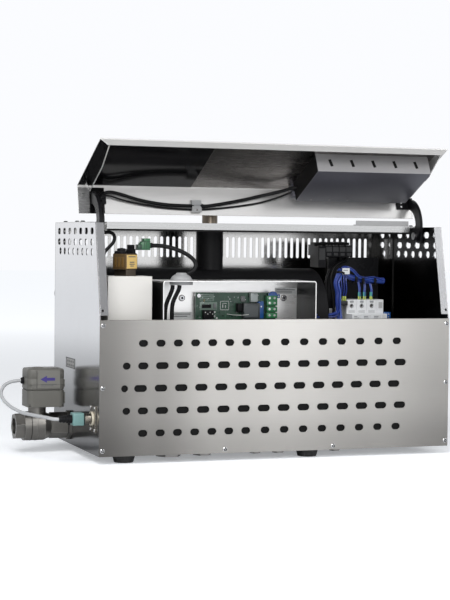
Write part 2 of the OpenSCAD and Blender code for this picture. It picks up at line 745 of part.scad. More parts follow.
inlet_x = -276;
inlet_z = 236;
inlet_r = 6;
inlet_bore = 4.5;
feed_pipe_y = 64;
inlet_bend = 9;
inlet_port_x = -210;
inlet_ports = [inlet_port_x];
nipple_r = 10.5;
module inlet_pipe() color("silver") placed() {
    difference() {
        union() {
            translate([inlet_x, 0, inlet_z]) {
                along_y(feed_pipe_y + inlet_bend, case_d + nipple_out, inlet_r);
                along_y(case_d, case_d + nipple_out, nipple_r);
                along_y(back_in - nut_t, back_in, nipple_r);
            }
            translate([inlet_x + inlet_bend, feed_pipe_y + inlet_bend, inlet_z]) rotate([0, 0, 180])
                rotate_extrude(angle = 90) translate([inlet_bend, 0]) circle(inlet_r);
            translate([0, feed_pipe_y, inlet_z]) along_x(inlet_x + inlet_bend, feed_x + feed_w/3, inlet_r);
        }
        translate([inlet_x, 0, inlet_z]) along_y(feed_pipe_y + inlet_bend, case_d + nipple_out + cut, inlet_bore);
        translate([inlet_x, 0, inlet_z]) along_y(case_d + nipple_out/3, case_d + nipple_out + cut, nipple_bore);
        translate([inlet_x + inlet_bend, feed_pipe_y + inlet_bend, inlet_z]) rotate([0, 0, 180])
            rotate_extrude(angle = 90) translate([inlet_bend, 0]) circle(inlet_bore);
        translate([0, feed_pipe_y, inlet_z])
            along_x(inlet_x + inlet_bend, feed_x + feed_w/3 + cut, inlet_bore);
    }
    // Feed line from the box into the boiler
    for (x = inlet_ports) translate([x, 0, boiler_z]) difference() {
        along_y(feed_y + feed_d/2, boiler_y - tank_r + tank_wall, inlet_r);
        along_y(feed_y + feed_d/2 - cut, boiler_y, inlet_bore);
    }
}
nipple_bore = 7.5;

// Solenoid valve on the feed box, turned to face right of the front
coil_x = -232;
coil_y = 69;
coil_turn = 33.5;
coil_z = feed_top + 10;
valve_neck_r = 9;
plunger_r = 4.5;
plunger_travel = 3;
module at_coil() translate([coil_x, coil_y, 0]) rotate([0, 0, coil_turn]) children();
module solenoid_body() color("#b08d57") placed() at_coil() difference() {
    union() {
        block([-coil_w*0.42, -coil_w*0.42, feed_top], [coil_w*0.42, coil_w*0.42, coil_z - apart]);
        translate([0, 0, feed_top - 8]) cylinder(h = 8, r = valve_neck_r);
        translate([0, 0, coil_z - cut]) cylinder(h = coil_h + cut, r = valve_neck_r - 2);
    }
    translate([0, 0, coil_z - 6]) cylinder(h = coil_h, r = plunger_r + 0.08);
}
module solenoid_plunger() color("silver") placed() at_coil()
    translate([0, 0, coil_z - 5]) cylinder(h = coil_h - plunger_travel - 4, r = plunger_r);
module solenoid_coil() color("#4a3416") placed() at_coil() difference() {
    block([-coil_w/2, -coil_w/2, coil_z], [coil_w/2, coil_w/2, coil_z + coil_h]);
    translate([0, 0, coil_z - cut]) cylinder(h = coil_h + 2*cut, r = valve_neck_r - 2 + apart/2);
}

knob_r = 8;
knob_h = 9;
header_size = [7, 14, 16];
module coil_terminal() color("#151515") placed() {
    translate([coil_x - 6, coil_y, coil_z + coil_h]) cylinder(h = knob_h, r = knob_r);
    at_coil() translate([coil_w/2 - 4, -header_size.y/2, coil_z + coil_h])
        cube([header_size.x, header_size.y, header_size.z]);
}

// Stepped green plug: a low front and a high back
plug_at = [coil_x + 19, coil_y + 2, coil_z + coil_h + 6];
plug_size = [22, 15, 18];
module terminal_plug() color("#3f8a52") placed() translate(plug_at) {
    translate([0, -plug_size.y/2, 0]) cube([plug_size.x*0.3, plug_size.y, plug_size.z*0.5]);
    translate([plug_size.x*0.3, -plug_size.y/2, 0]) cube([plug_size.x*0.6, plug_size.y, plug_size.z]);
    translate([plug_size.x*0.9, 0, plug_size.z*0.4]) along_x(0, plug_size.x*0.25, plug_cable_d/2 + 1);
}

plug_cable_route = [
    [-190, 71, 317], [-180, 71, 317], [-168, 70, 316], [-152, 66, 312], [-137, 60, 305], [-126, 55, 296],
    [-123, 52, 287], [-128, 50, 279], [-137, 50, 274], [-145, 50, 269]
];
module plug_cable() color("black") placed() tube(route(plug_cable_route, 3), plug_cable_d/2, 10);

grommet_x = -147;
grommet_y = 50;
grommet_r = 16;
module cable_grommet() color("#9a9a9a") placed() translate([grommet_x, grommet_y, encl_top]) {
    rotate_extrude() polygon([
        [0, -7], [grommet_r + 2, -7], [grommet_r + 2, -sheet], [grommet_hole_r, -sheet], [grommet_hole_r, 0],
        [grommet_r, 0], [grommet_r*0.9, 3], [grommet_r*0.55, 6], [0, 6]]);
}
grommet_hole_r = 13;

// Control enclosure, open to the front
encl_x = -187;
encl_y = 15;
encl_top = 264;
encl_z = encl_top - encl_h;
encl_round = 4;
module control_enclosure() color("whitesmoke") placed() difference() {
    translate([encl_x, encl_y + encl_d, encl_z]) rotate([90, 0, 0]) linear_extrude(encl_d)
        soft_square([encl_w, encl_h], encl_round);
    translate([encl_x + sheet, encl_y + encl_d - sheet, encl_z + sheet]) rotate([90, 0, 0]) linear_extrude(encl_d)
        soft_square([encl_w - 2*sheet, encl_h - 2*sheet], encl_round - sheet);
    translate([grommet_x, grommet_y, encl_top - 2*sheet]) cylinder(h = 3*sheet, r = grommet_hole_r + apart/3);
    for (p = standoff_places)
        translate([p.x, 0, p.y]) along_y(encl_y + encl_d - 2*sheet, encl_y + encl_d + cut, screw_hole_r);
}

pcb_right_gap = 42;
pcb_top_gap = 20;
pcb_x = encl_x + encl_w - pcb_right_gap - pcb_w;
pcb_top = encl_top - pcb_top_gap;
pcb_t = 1.6;
standoff_l = 8;
pcb_y = encl_y + encl_d - sheet - standoff_l;
pcb_in = 5;
standoff_places = [
    for (x = [pcb_x + pcb_in, pcb_x + pcb_w - pcb_in], z = [pcb_top - pcb_in, pcb_top - pcb_h + pcb_in]) [x, z]
];
module control_board() color("#2f5a3c") placed() difference() {
    block([pcb_x, pcb_y - pcb_t, pcb_top - pcb_h], [pcb_x + pcb_w, pcb_y, pcb_top]);
    for (p = standoff_places)
        translate([p.x, 0, p.y]) along_y(pcb_y - pcb_t - cut, pcb_y + cut, screw_hole_r);
}
wall_screw_in = [55, 25];
wall_screw_down = 29;
wall_screws = [
    for (x = [encl_x + wall_screw_in[0], encl_x + encl_w - wall_screw_in[1]]) [x, encl_top - wall_screw_down]
];
washer_t = 1;
module board_standoffs() color("silver") placed() {
    wall = encl_y + encl_d - sheet;
    for (p = standoff_places) translate([p.x, 0, p.y]) {
        along_y(pcb_y, wall, 2*screw_r);
        along_y(pcb_y - pcb_t, wall + sheet, screw_r);
        along_y(pcb_y - pcb_t - screw_head_t, pcb_y - pcb_t, screw_head_r - 0.6);
    }
    for (p = wall_screws) translate([p.x, 0, p.y]) {
        along_y(wall - washer_t, wall, 1.4*screw_head_r);
        along_y(wall - washer_t - screw_head_t, wall - washer_t, screw_head_r);
    }
}

// Parts on the board as [left, low, width, height, depth], from the board's lower left corner
board_blocks = [
    [90, 85, 10, 14, 9], [101, 87, 7, 12, 7], [67, 69, 8, 13, 11], [77, 67, 28, 15, 14],
    [107, 66, 8, 19, 10], [13, 60, 12, 9, 8], [1, 42, 6, 45, 7],
    [12, 6, 30, 26, 26], [50, 6, 19, 20, 16], [74, 6, 19, 20, 16], [98, 6, 27, 12, 13],
    [52, 38, 14, 14, 6], [112, 34, 14, 20, 12]
];
// The blue disc stands off the board on its leg
disc_in = [5, 6];
disc_r = 8;
disc_t = 5;
disc_leg = 4;
disc_leg_r = 1.2;
module board_parts() color("#303438") placed() {
    face = pcb_y - pcb_t;
    for (b = board_blocks) translate([pcb_x, 0, pcb_top - pcb_h])
        block([b[0], face - b[4], b[1]], [b[0] + b[2], face, b[1] + b[3]]);
    translate([pcb_x + pcb_w - disc_in.x, face - disc_leg, pcb_top - disc_in.y]) {
        along_y(-disc_t, 0, disc_r);
        translate([-disc_r, 0, 0]) {
            along_y(0, disc_leg, disc_leg_r);
            along_y(-disc_t, 0, 2*disc_leg_r);
        }
    }
}

// Cables that are fixed in the case: two from the grommet, two from the relay bank
grommet_routes = [
    [[-154, 54, 256.5], [-154, 54, 250], [-158, 56, 240], [-164, 58, 228], [-167, 60, 215], [-168, 62, 195],
        [-167, 67, 178], [-163, 72, 163], [-158, 76, 150]],
    [[-140, 46, 256.5], [-140, 46, 250], [-147, 47.5, 241], [-154, 50, 230], [-157, 52, 218], [-157, 54, 198],
        [-154, 60, 180], [-149, 68, 164], [-144, 76, 150]]
];
relay_routes = [
    [[182, 166, 300.5], [182, 165.5, 296.5], [177, 161, 293.5], [168, 157, 292], [160, 155, 288.5],
        [153, 154, 281], [149, 153, 270], [148, 152, 258], [150, 151, 241], [152, 150, 222], [152, 150, 200],
        [151, 150, 150], [151, 148, 100], [150, 142, 55], [150, 130, 30], [150, 128, 14]],
    [[170, 168, 300.5], [170, 168, 296], [165, 164.5, 290.5], [157, 161.5, 285.5], [149.5, 160, 278],
        [144, 159, 268], [141.5, 158.5, 256], [142.5, 158, 240], [144, 158, 222], [144, 158, 200],
        [144, 158, 150], [144, 156, 100], [142, 146, 55], [140, 130, 30], [140, 128, 14]]
];
// Height of the mounting plate that the relay cables were laid for
relay_routes_for = 300;
grommet_cable_d = 6.5;
relay_cable_d = 5;
// Terminal blocks that the cables end in: one on the enclosure's wall, one on the floor
wall_block = [19, 28, 34, 11];
wall_block_d = 23.5;
floor_block_x = 132;
floor_block_y = 84;
floor_block = [32, 54, 12.1];
module black_cables() color("#181818") placed() {
    for (r = grommet_routes)
        tube(route(r, 2), grommet_cable_d/2, 8);
    for (r = relay_routes)
        tube(route([for (p = r) [p.x, p.y, p.z*plate_h/relay_routes_for]], 2), relay_cable_d/2, 8);
    wall = encl_y + encl_d - sheet;
    translate([encl_x + wall_block[0], wall - wall_block_d, encl_z + wall_block[1]])
        cube([wall_block[2], wall_block_d, wall_block[3]]);
    translate([floor_block_x, floor_block_y, sheet]) cube(floor_block);
}

plate_x = 151;
plate_w = 92;
plate_y = 172.5;
plate_drop = 53;
plate_h = case_h - plate_drop;
plate_t = 2;
plate_fold = 20;
plate_tab_w = 46;
plate_tab_h = 25;
module mounting_plate() color("#2b2b2d") placed() {
    block([plate_x, plate_y, sheet], [plate_x + plate_w, plate_y + plate_t, plate_h]);
    block([plate_x, plate_y, sheet], [plate_x + plate_w, plate_y + plate_fold, 2*sheet]);
    block([plate_x, plate_y, plate_h - plate_t], [plate_x + plate_tab_w, plate_y + plate_fold, plate_h]);
    block([plate_x, plate_y + plate_fold - plate_t, plate_h - plate_t],
        [plate_x + plate_tab_w, plate_y + plate_fold, plate_h + plate_tab_h]);
}

rail_t = 1;
rail_d = 7.5;
rail_h = 35;
rail_z = 180;
rail_lip_share = 0.22;
upper_rail_x = 121;
upper_rail_t = 3;
upper_rail_h = 18;
upper_rail_z = plate_h + 3;
upper_rail_y = plate_y + plate_fold - plate_t;
// Top-hat rail whose lips face the front, back face at the given Y
module rail(x, w, y, z) translate([x, y, z]) rotate([90, 0, 90]) linear_extrude(w) {
    lip = rail_h*rail_lip_share;
    translate([-rail_t, lip]) square([rail_t, rail_h - 2*lip]);
    for (v = [lip, rail_h - lip - rail_t])
        translate([-rail_d, v]) square([rail_d, rail_t]);
    for (v = [0, rail_h - lip - rail_t])
        translate([-rail_d, v]) square([rail_t, lip + rail_t]);
}
module din_rails() color("silver") placed() {
    rail(plate_x, plate_w, plate_y, rail_z);
    block([upper_rail_x, upper_rail_y - upper_rail_t, upper_rail_z],
        [plate_x + plate_tab_w, upper_rail_y, upper_rail_z + upper_rail_h]);
}

// Breaker profile from the rail to the nose
breaker_x = 162;
breaker_z = 146;
breaker_back = plate_y - rail_d;
shoulder_d = 47;
nose_d = 70;
nose_low_share = 0.24;
nose_high_share = 0.73;
aux_w = 12;
toggle_z = breaker_z + breaker_h*0.48;
toggle_y = breaker_back - nose_d + 8;
toggle_r = 7;
module breaker_outline(nose) polygon([
    [breaker_back, 0], [breaker_back, breaker_h], [breaker_back - shoulder_d, breaker_h],
    [breaker_back - shoulder_d, breaker_h*nose_high_share], [breaker_back - nose, breaker_h*nose_high_share],
    [breaker_back - nose, breaker_h*nose_low_share], [breaker_back - shoulder_d, breaker_h*nose_low_share],
    [breaker_back - shoulder_d, 0]]);
module breaker_body() color("gainsboro") placed() {
    for (k = [0 : 2]) difference() {
        translate([breaker_x + k*pole_w, 0, breaker_z]) rotate([90, 0, 90])
            linear_extrude(pole_w - apart) breaker_outline(nose_d);
        middle = breaker_x + k*pole_w + (pole_w - apart)/2;
        translate([middle, 0, breaker_z + breaker_h*0.88])
            along_y(breaker_back - shoulder_d - cut, breaker_back - shoulder_d + 6, 3.4);
        translate([0, toggle_y, toggle_z])
            along_x(middle - toggle_slot/2, middle + toggle_slot/2, toggle_r + apart);
        block([middle - toggle_slot/2, toggle_y - 20, toggle_z - toggle_r - 4],
            [middle + toggle_slot/2, toggle_y, toggle_z + toggle_r + 4]);
    }
    translate([breaker_x + 3*pole_w, 0, breaker_z]) rotate([90, 0, 90])
        linear_extrude(aux_w) breaker_outline(nose_d - 8);
}
toggle_slot = 8;
toggle_up = 35;
bar_r = 2;
// Three handles joined by a bar in front of the nose; up is on
module breaker_toggle() color("#20242c") placed() translate([0, toggle_y, toggle_z]) rotate([-toggle_up, 0, 0]) {
    for (k = [0 : 2]) {
        middle = breaker_x + k*pole_w + (pole_w - apart)/2;
        along_x(middle - toggle_slot/2 + apart, middle + toggle_slot/2 - apart, toggle_r);
        block([middle - toggle_slot/2 + apart, -20, -2.5], [middle + toggle_slot/2 - apart, 0, 2.5]);
    }
    translate([0, -18, 0]) along_x(breaker_x + 4, breaker_x + 3*pole_w - 4, bar_r);
}

relay_y = upper_rail_y - upper_rail_t;
relay_block = [13.3, 35, 35.5];
module_n = 4;
module_pitch = 12.05;
module_low = plate_h + 1;
module_h = 17.6;
module_back_h = 24;
module_d = 34.5;
module_back_d = 16;
module_x = 138.5;
module relay_bank() color("#141416") placed() {
    block_top = module_low + module_h;
    translate([module_x - apart - relay_block.x, relay_y, 0]) {
        block([0, -relay_block.y, block_top - relay_block.z], [relay_block.x, 0, block_top]);
        block([0, -module_back_d, block_top - relay_block.z], [relay_block.x, 0, module_low + module_back_h]);
    }
    for (k = [0 : module_n - 1]) translate([module_x + k*module_pitch, relay_y, module_low]) {
        block([0, -module_d, 0], [module_pitch - apart, 0, module_h]);
        block([0, -module_back_d, 0], [module_pitch - apart, 0, module_back_h]);
    }
}

// Blue loom: one bundle across, one down, drops to the breaker and loops at the tip
loom_down = [[150, 118, 276], [145, 115, 268], [141, 113, 258], [144, 112, 243], [144, 112, 230],
    [145, 112, 215], [146, 110, 200], [147, 104, 180], [148, 98, 140], [148, 96, 100], [148, 96, 60],
    [148, 96, 30], [148, 96, 14]];
loom_across = [[150, 127, 278], [156, 127, 275.5], [170.5, 126, 268], [184, 126, 265], [198, 126, 263.3],
    [216, 126, 262.5], [232, 126, 262]];
loom_drops = [[[184, 124, 262], [186, 122, 252], [186, 121, 242], [186, 122, 231.3]],
    [[196, 124, 262], [196, 122, 252], [195, 121, 242], [195, 122, 231.3]],
    [[206, 128, 262], [208, 124, 252], [208, 121, 242], [207, 122, 231.3]]];
loom_r = 6;
drop_r = 2;
module blue_loom() color("#2540b0") placed() {
    tube(route(loom_down, 2), loom_r, 10);
    tube(route(loom_across, 2), loom_r, 10);
    for (d = loom_drops)
        tube(route(d, 2), drop_r, 8);
}

tie_w = 4;
tie_t = 1;
tie_play = 0.6;
// Each tie's place along the bundle: X, Z and the bundle's fall there
tie_y = 126;
tie_places = [[179, 265.8, 9.6], [191.5, 263.9, 5.6], [213, 262.6, 2]];
module cable_ties() color("#0c0c0c") placed() {
    for (t = tie_places) translate([t[0], tie_y, t[1]]) rotate([0, t[2], 0]) difference() {
        along_x(-tie_w/2, tie_w/2, loom_r + tie_t + tie_play);
        along_x(-tie_w/2 - cut, tie_w/2 + cut, loom_r + tie_play);
    }
}

// Drain valve, outside the left wall
valve_x = -343;
body_half = 19.5;
hex_across = 38;
hex_turn = 20;
body_back = 23;
neck_taper = 10;
neck_wall = 1.6;
tail_in_x = -302;
seat_t = 3.4;
stem_r = 5;
stem_play = 0.05;
stem_top = 76;
mount_r = 14;
act_x = -363;
act_y = drain_y - act_d/2 + 2;
act_z = valve_z + valve_r + 8;
act_split = act_z + 26;
cavity_r = ball_r + 0.5;
module valve_body() color("#8d8a84") placed() translate([0, drain_y, valve_z]) difference() {
    union() {
        rotate([hex_turn, 0, 0]) hex_x(hex_out_x, valve_x - body_back, hex_across);
        along_x(valve_x - body_back, valve_x + body_half - neck_taper, valve_r);
        translate([valve_x + body_half - neck_taper, 0, 0]) rotate([0, 90, 0])
            cylinder(h = neck_taper, r1 = valve_r, r2 = cavity_r + neck_wall);
        translate([valve_x, 0, 0]) cylinder(h = act_z - valve_z - apart, r = mount_r);
    }
    along_x(hex_out_x - cut, valve_x, port_r);
    along_x(hex_out_x - cut, hex_out_x + outlet_l, outlet_r);
    along_x(valve_x - ball_r - apart, valve_x + body_half + cut, cavity_r);
    translate([valve_x, 0, 0]) cylinder(h = act_z, r = stem_r + stem_play);
}
tail_r = 18;
tail_plug = 5;
module valve_tailpiece() color("#8d8a84") placed() translate([0, drain_y, valve_z]) difference() {
    union() {
        hex_x(valve_x + body_half, -case_w/2 - nut_t - apart, 2*tail_r);
        along_x(valve_x + body_half - tail_plug + 2, valve_x + body_half, cavity_r - 0.1);
    }
    along_x(valve_x, 0, port_r);
    along_x(tail_in_x - apart, 0, drain_r + apart/3);
}
module valve_seats() color("white") placed() translate([valve_x, drain_y, valve_z])
    for (side = [-1, 1]) difference() {
        from = side < 0 ? -ball_r : ball_r - seat_t - 1;
        along_x(from, from + seat_t + 1, cavity_r - apart/3);
        along_x(-2*ball_r, 2*ball_r, port_r + apart);
        sphere(ball_r + apart, $fn = 64);
    }
tongue = [3, 8, 4];
module valve_ball() color("#c9c9c9") placed() translate([valve_x, drain_y, valve_z]) difference() {
    sphere(ball_r, $fn = 64);
    along_x(-2*ball_r, 2*ball_r, port_r);
    block([-tongue.y/2 - apart/3, -tongue.x/2 - apart/3, ball_r - tongue.z - apart/2],
        [tongue.y/2 + apart/3, tongue.x/2 + apart/3, ball_r]);
}
module valve_stem() color("silver") placed() translate([valve_x, drain_y, valve_z]) {
    translate([0, 0, ball_r + 0.2]) cylinder(h = act_z + 22 - valve_z - ball_r - 0.2, r = stem_r);
    block([-tongue.y/2, -tongue.x/2, ball_r - tongue.z], [tongue.y/2, tongue.x/2, ball_r + 0.4]);
}

// Actuator: a base and a cover with a gear train inside
shell_t = 2;
act_round = 9;
act_floor = 4;
cover_in = 1.2;
dial_r = 9;
dial_t = 2;
cable_hole_l = 6;
module act_outline(grow) translate([act_x - grow, act_y - grow])
    soft_square([act_w + 2*grow, act_d + 2*grow], act_round + grow);
module actuator_base() color("#8f8b80") placed() difference() {
    translate([0, 0, act_z]) linear_extrude(act_split - act_z) act_outline(0);
    translate([0, 0, act_z + act_floor]) linear_extrude(act_split) act_outline(-shell_t);
    translate([valve_x, drain_y, act_z - cut]) cylinder(h = act_floor + 2*cut, r = stem_r + apart);
}
module actuator_cover() color("#8f8b80") placed() difference() {
    union() {
        translate([0, 0, act_split + apart/3]) linear_extrude(act_z + act_h - act_split - dial_t)
            act_outline(-cover_in);
        translate([valve_x, drain_y, act_z + act_h - dial_t]) cylinder(h = dial_t, r = dial_r);
    }
    translate([0, 0, act_split - cut]) linear_extrude(act_z + act_h - act_split - dial_t)
        act_outline(-cover_in - shell_t);
    translate([0, cable_y, cable_z]) along_x(act_x - cut, act_x + cable_hole_l, valve_cable_d/2 + apart);
}

// Spur gears with trapezium teeth of one module
gear_m = 1;
gear_teeth = 28;
pinion_teeth = 14;
gear_z = act_z + 6;
gear_t = 6;
gear_gap = (gear_teeth + pinion_teeth)*gear_m/2 + 0.15;
module spur(teeth, turn) {
    r = teeth*gear_m/2;
    pitch = 360/teeth;
    circle(r - 1.25*gear_m);
    for (k = [0 : teeth - 1]) rotate([0, 0, k*pitch + turn]) polygon([
        [r - 1.5*gear_m, -r*sin(pitch*0.26)], [r - gear_m, -r*sin(pitch*0.25)], [r + gear_m, -r*sin(pitch*0.09)],
        [r + gear_m, r*sin(pitch*0.09)], [r - gear_m, r*sin(pitch*0.25)], [r - 1.5*gear_m, r*sin(pitch*0.26)]]);
}
module output_gear() color("ivory") placed() translate([valve_x, drain_y, gear_z]) linear_extrude(gear_t)
    difference() {
        spur(gear_teeth, 0);
        circle(stem_r + 0.02);
    }
module motor_pinion() color("#d0a848") placed() translate([valve_x + gear_gap, drain_y, gear_z]) {
    linear_extrude(gear_t) spur(pinion_teeth, 180/pinion_teeth);
    translate([0, 0, gear_t]) cylinder(h = shaft_l, r = shaft_r);
}
motor_size = [26, 30, 26];
motor_shift = 2;
shaft_r = 1.5;
shaft_l = 8;
module drive_motor() color("#b8b8b8") placed()
    translate([valve_x + gear_gap, drain_y, gear_z + gear_t + motor_shift]) difference() {
        block([-motor_size.x/2 - motor_shift, -motor_size.y/2, 0],
            [motor_size.x/2 - motor_shift, motor_size.y/2, motor_size.z]);
        translate([0, 0, -cut]) cylinder(h = shaft_l + 4*cut, r = shaft_r + stem_play);
    }

// Socket on the wall and the plug in it
socket_y = 32;
socket_z = 55;
socket_r = 8;
socket_plate = [30, 40];
socket_t = 2;
barrel_l = 13;
module valve_socket() color("#c9c4b4") placed() translate([0, socket_y, socket_z]) difference() {
    union() {
        block([-case_w/2 - socket_t, -socket_plate.x/2, -socket_plate.y/2],
            [-case_w/2, socket_plate.x/2, socket_plate.y/2]);
        along_x(-case_w/2 - socket_t - barrel_l, -inner_x + 10, socket_r - 0.3);
    }
    along_x(-case_w/2 - socket_t - barrel_l - cut, -case_w/2 - socket_t, socket_r - 2.3);
}
hood = 19;
relief_l = 20;
module valve_plug() color("#7aa0a0") placed()
    translate([-case_w/2 - socket_t - barrel_l - apart, socket_y, socket_z]) {
        block([-hood, -hood/2, -hood/2], [0, hood/2, hood/2]);
        along_x(-cut, barrel_l - 2, socket_r - 2.6);
        translate([-hood, 0, 0]) rotate([0, -90, 0]) rotate_extrude()
            polygon([[0, -cut], [6.5, -cut], [6.5, 4], [5.6, 4], [5.6, 6], [6.3, 6], [6, 9], [5.2, 9], [5.2, 11],
                [5.8, 11], [5.4, 14], [4.6, 14], [4.6, 16], [5, 16], [4.6, relief_l], [0, relief_l]]);
    }

cable_y = drain_y + 10;
cable_z = act_z + 40;
valve_cable_route = [
    [-361, 189, 101], [-372, 189, 101], [-385, 186.5, 99], [-396, 181, 93.5], [-402.5, 171, 84],
    [-402, 157, 75], [-396, 140, 66.5], [-389, 122, 61.5], [-382, 104, 58.5], [-374, 84, 57.5],
    [-367, 64, 57], [-359, 46, 56.5], [-352, 35, 55.5], [-343, 32, 55]
];
module valve_cable() color("#b5b7ba") placed() tube(route(valve_cable_route, 2), valve_cable_d/2, 10);

// Lid cable along the flange. It crosses the hinge on the hinge axis, where the case cable takes over
lid_cable_route = [
    [-249, 112, 337], [-254, 112, 337], [-257, 110, 341], [-259.6, 104, 346], [-259.6, 99, 353],
    [-259.6, 101, 363], [-259.6, 108, 372], [-259.6, 117, 381], [-259, 125, 389], [-254, 131, 395],
    [-246, 135, 399], [-234, 138, 400], [-216, 138, 396], [-195, 137, 390], [-170, 136, 385],
    [-145, 135.5, 382], [-120, 135.5, 381], [-95, 135.5, 381], [-78, 135.5, 381], [-60, 135.6, 383.5],
    [-40, 136, 387], [-10, 136.5, 393], [15, 136, 399], [36, 131, 404], [50, 124, 408], [61, 116, 412], [69.4, 112.8, 413]
];
module lid_cable() color("black") placed() tube(route(lid_cable_route, 2), lid_cable_d/2, 8);

clip_x = -95;
module cable_clip() color("#8a8a8a") placed() {
    difference() {
        translate([clip_x - 8, 0, 0]) rotate([90, 0, 90]) linear_extrude(16)
            polygon([[131, 371], [136.7, 371], [141.3, 390], [134, 390]]);
        translate([0, 135.5, 381]) along_x(clip_x - 8 - cut, clip_x + 8 + cut, lid_cable_d/2 + apart);
    }
}

hinge_cable_route = [
    [-235, 92.4, 255], [-235, 99, 256], [-235, 104, 263], [-234, 108, 280], [-233, 111, 300], [-233, 112, 318],
    [-233, 112, 325], [-234.6, 112, 331], [-239, 112, 335.4], [-245, 112, 337], [-248.6, 112, 337]
];
module hinge_cable() color("black") placed() tube(route(hinge_cable_route, 2), lid_cable_d/2, 8);

base_tray();
left_side_panel();
right_side_panel();
back_panel();
top_panel();
front_panel();
case_screws();
lid_rest_strip();
rubber_feet();
cable_glands();
hinge_brackets();
hinge_pins();
boiler_jacket();
boiler_tank();
heating_elements();
boiler_cradles();
enclosure_legs();
riser_sleeve();
drain_pipe();
bulkhead_fitting();
feed_box();
inlet_pipe();
solenoid_body();
solenoid_coil();
coil_terminal();
terminal_plug();
plug_cable();
cable_grommet();
solenoid_plunger();
control_enclosure();
control_board();
board_standoffs();
board_parts();
black_cables();
mounting_plate();
din_rails();
breaker_body();
breaker_toggle();
relay_bank();
blue_loom();
cable_ties();
valve_body();
valve_tailpiece();
valve_seats();
valve_ball();
valve_stem();
actuator_base();
actuator_cover();
drive_motor();
motor_pinion();
output_gear();
valve_socket();
valve_plug();
valve_cable();
lid_shell();
hinge_arms();
lid_box();
lid_cable();
cable_clip();
hinge_cable();
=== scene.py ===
import math
import random

import bmesh
import bpy
from mathutils import Matrix, Vector


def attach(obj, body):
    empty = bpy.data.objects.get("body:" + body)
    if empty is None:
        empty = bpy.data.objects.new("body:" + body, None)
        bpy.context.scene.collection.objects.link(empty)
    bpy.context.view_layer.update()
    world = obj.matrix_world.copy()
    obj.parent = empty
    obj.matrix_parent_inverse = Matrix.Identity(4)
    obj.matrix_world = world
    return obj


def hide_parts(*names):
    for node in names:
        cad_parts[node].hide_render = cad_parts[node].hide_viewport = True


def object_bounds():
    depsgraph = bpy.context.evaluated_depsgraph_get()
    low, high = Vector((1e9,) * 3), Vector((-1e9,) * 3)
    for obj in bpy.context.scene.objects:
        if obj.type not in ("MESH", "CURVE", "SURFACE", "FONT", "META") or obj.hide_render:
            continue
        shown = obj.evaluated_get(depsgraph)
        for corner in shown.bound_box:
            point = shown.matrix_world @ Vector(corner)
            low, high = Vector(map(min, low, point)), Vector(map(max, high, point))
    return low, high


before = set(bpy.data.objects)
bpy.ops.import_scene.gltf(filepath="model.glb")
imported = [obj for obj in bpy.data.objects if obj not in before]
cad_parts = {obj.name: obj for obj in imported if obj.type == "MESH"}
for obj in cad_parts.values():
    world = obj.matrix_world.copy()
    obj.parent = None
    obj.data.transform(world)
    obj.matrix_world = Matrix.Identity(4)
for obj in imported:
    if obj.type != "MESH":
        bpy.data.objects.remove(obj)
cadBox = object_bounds()
print("frame loaded:", len(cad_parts), "nodes")

# Places are written in millimetres from the case's front lower middle, as on the drawing
caseShift = Vector((45.0, -150.0, 12.0))
hinge = {"y": 112.0, "z": 337.0, "open": math.radians(103.4)}
slope = {"angle": math.atan(33 / 148), "y": 33 - 145 * 33 / 148, "z": 208.0}


def at(x, y, z):
    return (Vector((x, y, z)) + caseShift) / 1000


def onLid(x, y, z):
    # a place on the shut lid, turned to where it stands open
    c, s = math.cos(hinge["open"]), math.sin(hinge["open"])
    dy, dz = y - hinge["y"], z - hinge["z"]
    return at(x, hinge["y"] + dy * c + dz * s, hinge["z"] - dy * s + dz * c)


def onSlope(x, depth, up):
    # on the lid's sloping face: depth into the case, up along the slope
    c, s = math.cos(slope["angle"]), math.sin(slope["angle"])
    return onLid(x, slope["y"] + depth * c + up * s, slope["z"] - depth * s + up * c)


def show(name, data):
    obj = bpy.data.objects.new(name, data)
    bpy.context.scene.collection.objects.link(obj)
    return obj


# the camera that fits the photograph
view = {"place": (-956.6, -2430.6, 325.9), "yaw": 19.567, "pitch": 2.014, "roll": 0.6345, "focal": 1687.6,
        "sensor": 36, "tall": 600, "far": 60}


def setCamera():
    yaw, pitch, roll = (math.radians(view[k]) for k in ("yaw", "pitch", "roll"))
    ahead = Vector((math.sin(yaw) * math.cos(pitch), math.cos(yaw) * math.cos(pitch), -math.sin(pitch)))
    right = Vector((math.cos(yaw), -math.sin(yaw), 0))
    up = right.cross(ahead)
    across = math.cos(roll) * right + math.sin(roll) * up
    above = -math.sin(roll) * right + math.cos(roll) * up
    data = bpy.data.cameras.new("studioCamera")
    data.lens = view["focal"] * view["sensor"] / view["tall"]
    data.sensor_width = view["sensor"]
    data.clip_end = view["far"]
    camera = show("studioCamera", data)
    turn = Matrix((across, above, -ahead)).transposed().to_4x4()
    camera.matrix_world = Matrix.Translation(at(*view["place"])) @ turn
    bpy.context.scene.camera = camera


setCamera()
bpy.context.scene.view_settings.view_transform = "Standard"


def blendPoint(a, b, c, d, t):
    return (2 * b + (c - a) * t + (2 * a - 5 * b + 4 * c - d) * t * t + (3 * b - a - 3 * c + d) * t ** 3) / 2


def smoothRoute(points, steps):
    p = [Vector(q) for q in points]
    out = []
    for i in range(len(p) - 1):
        a, d = p[max(i - 1, 0)], p[min(i + 2, len(p) - 1)]
        out += [blendPoint(a, p[i], p[i + 1], d, k / steps) for k in range(steps)]
    return out + [p[-1]]


def circleOf(first, other, turn):
    return first * math.cos(turn) + other * math.sin(turn)


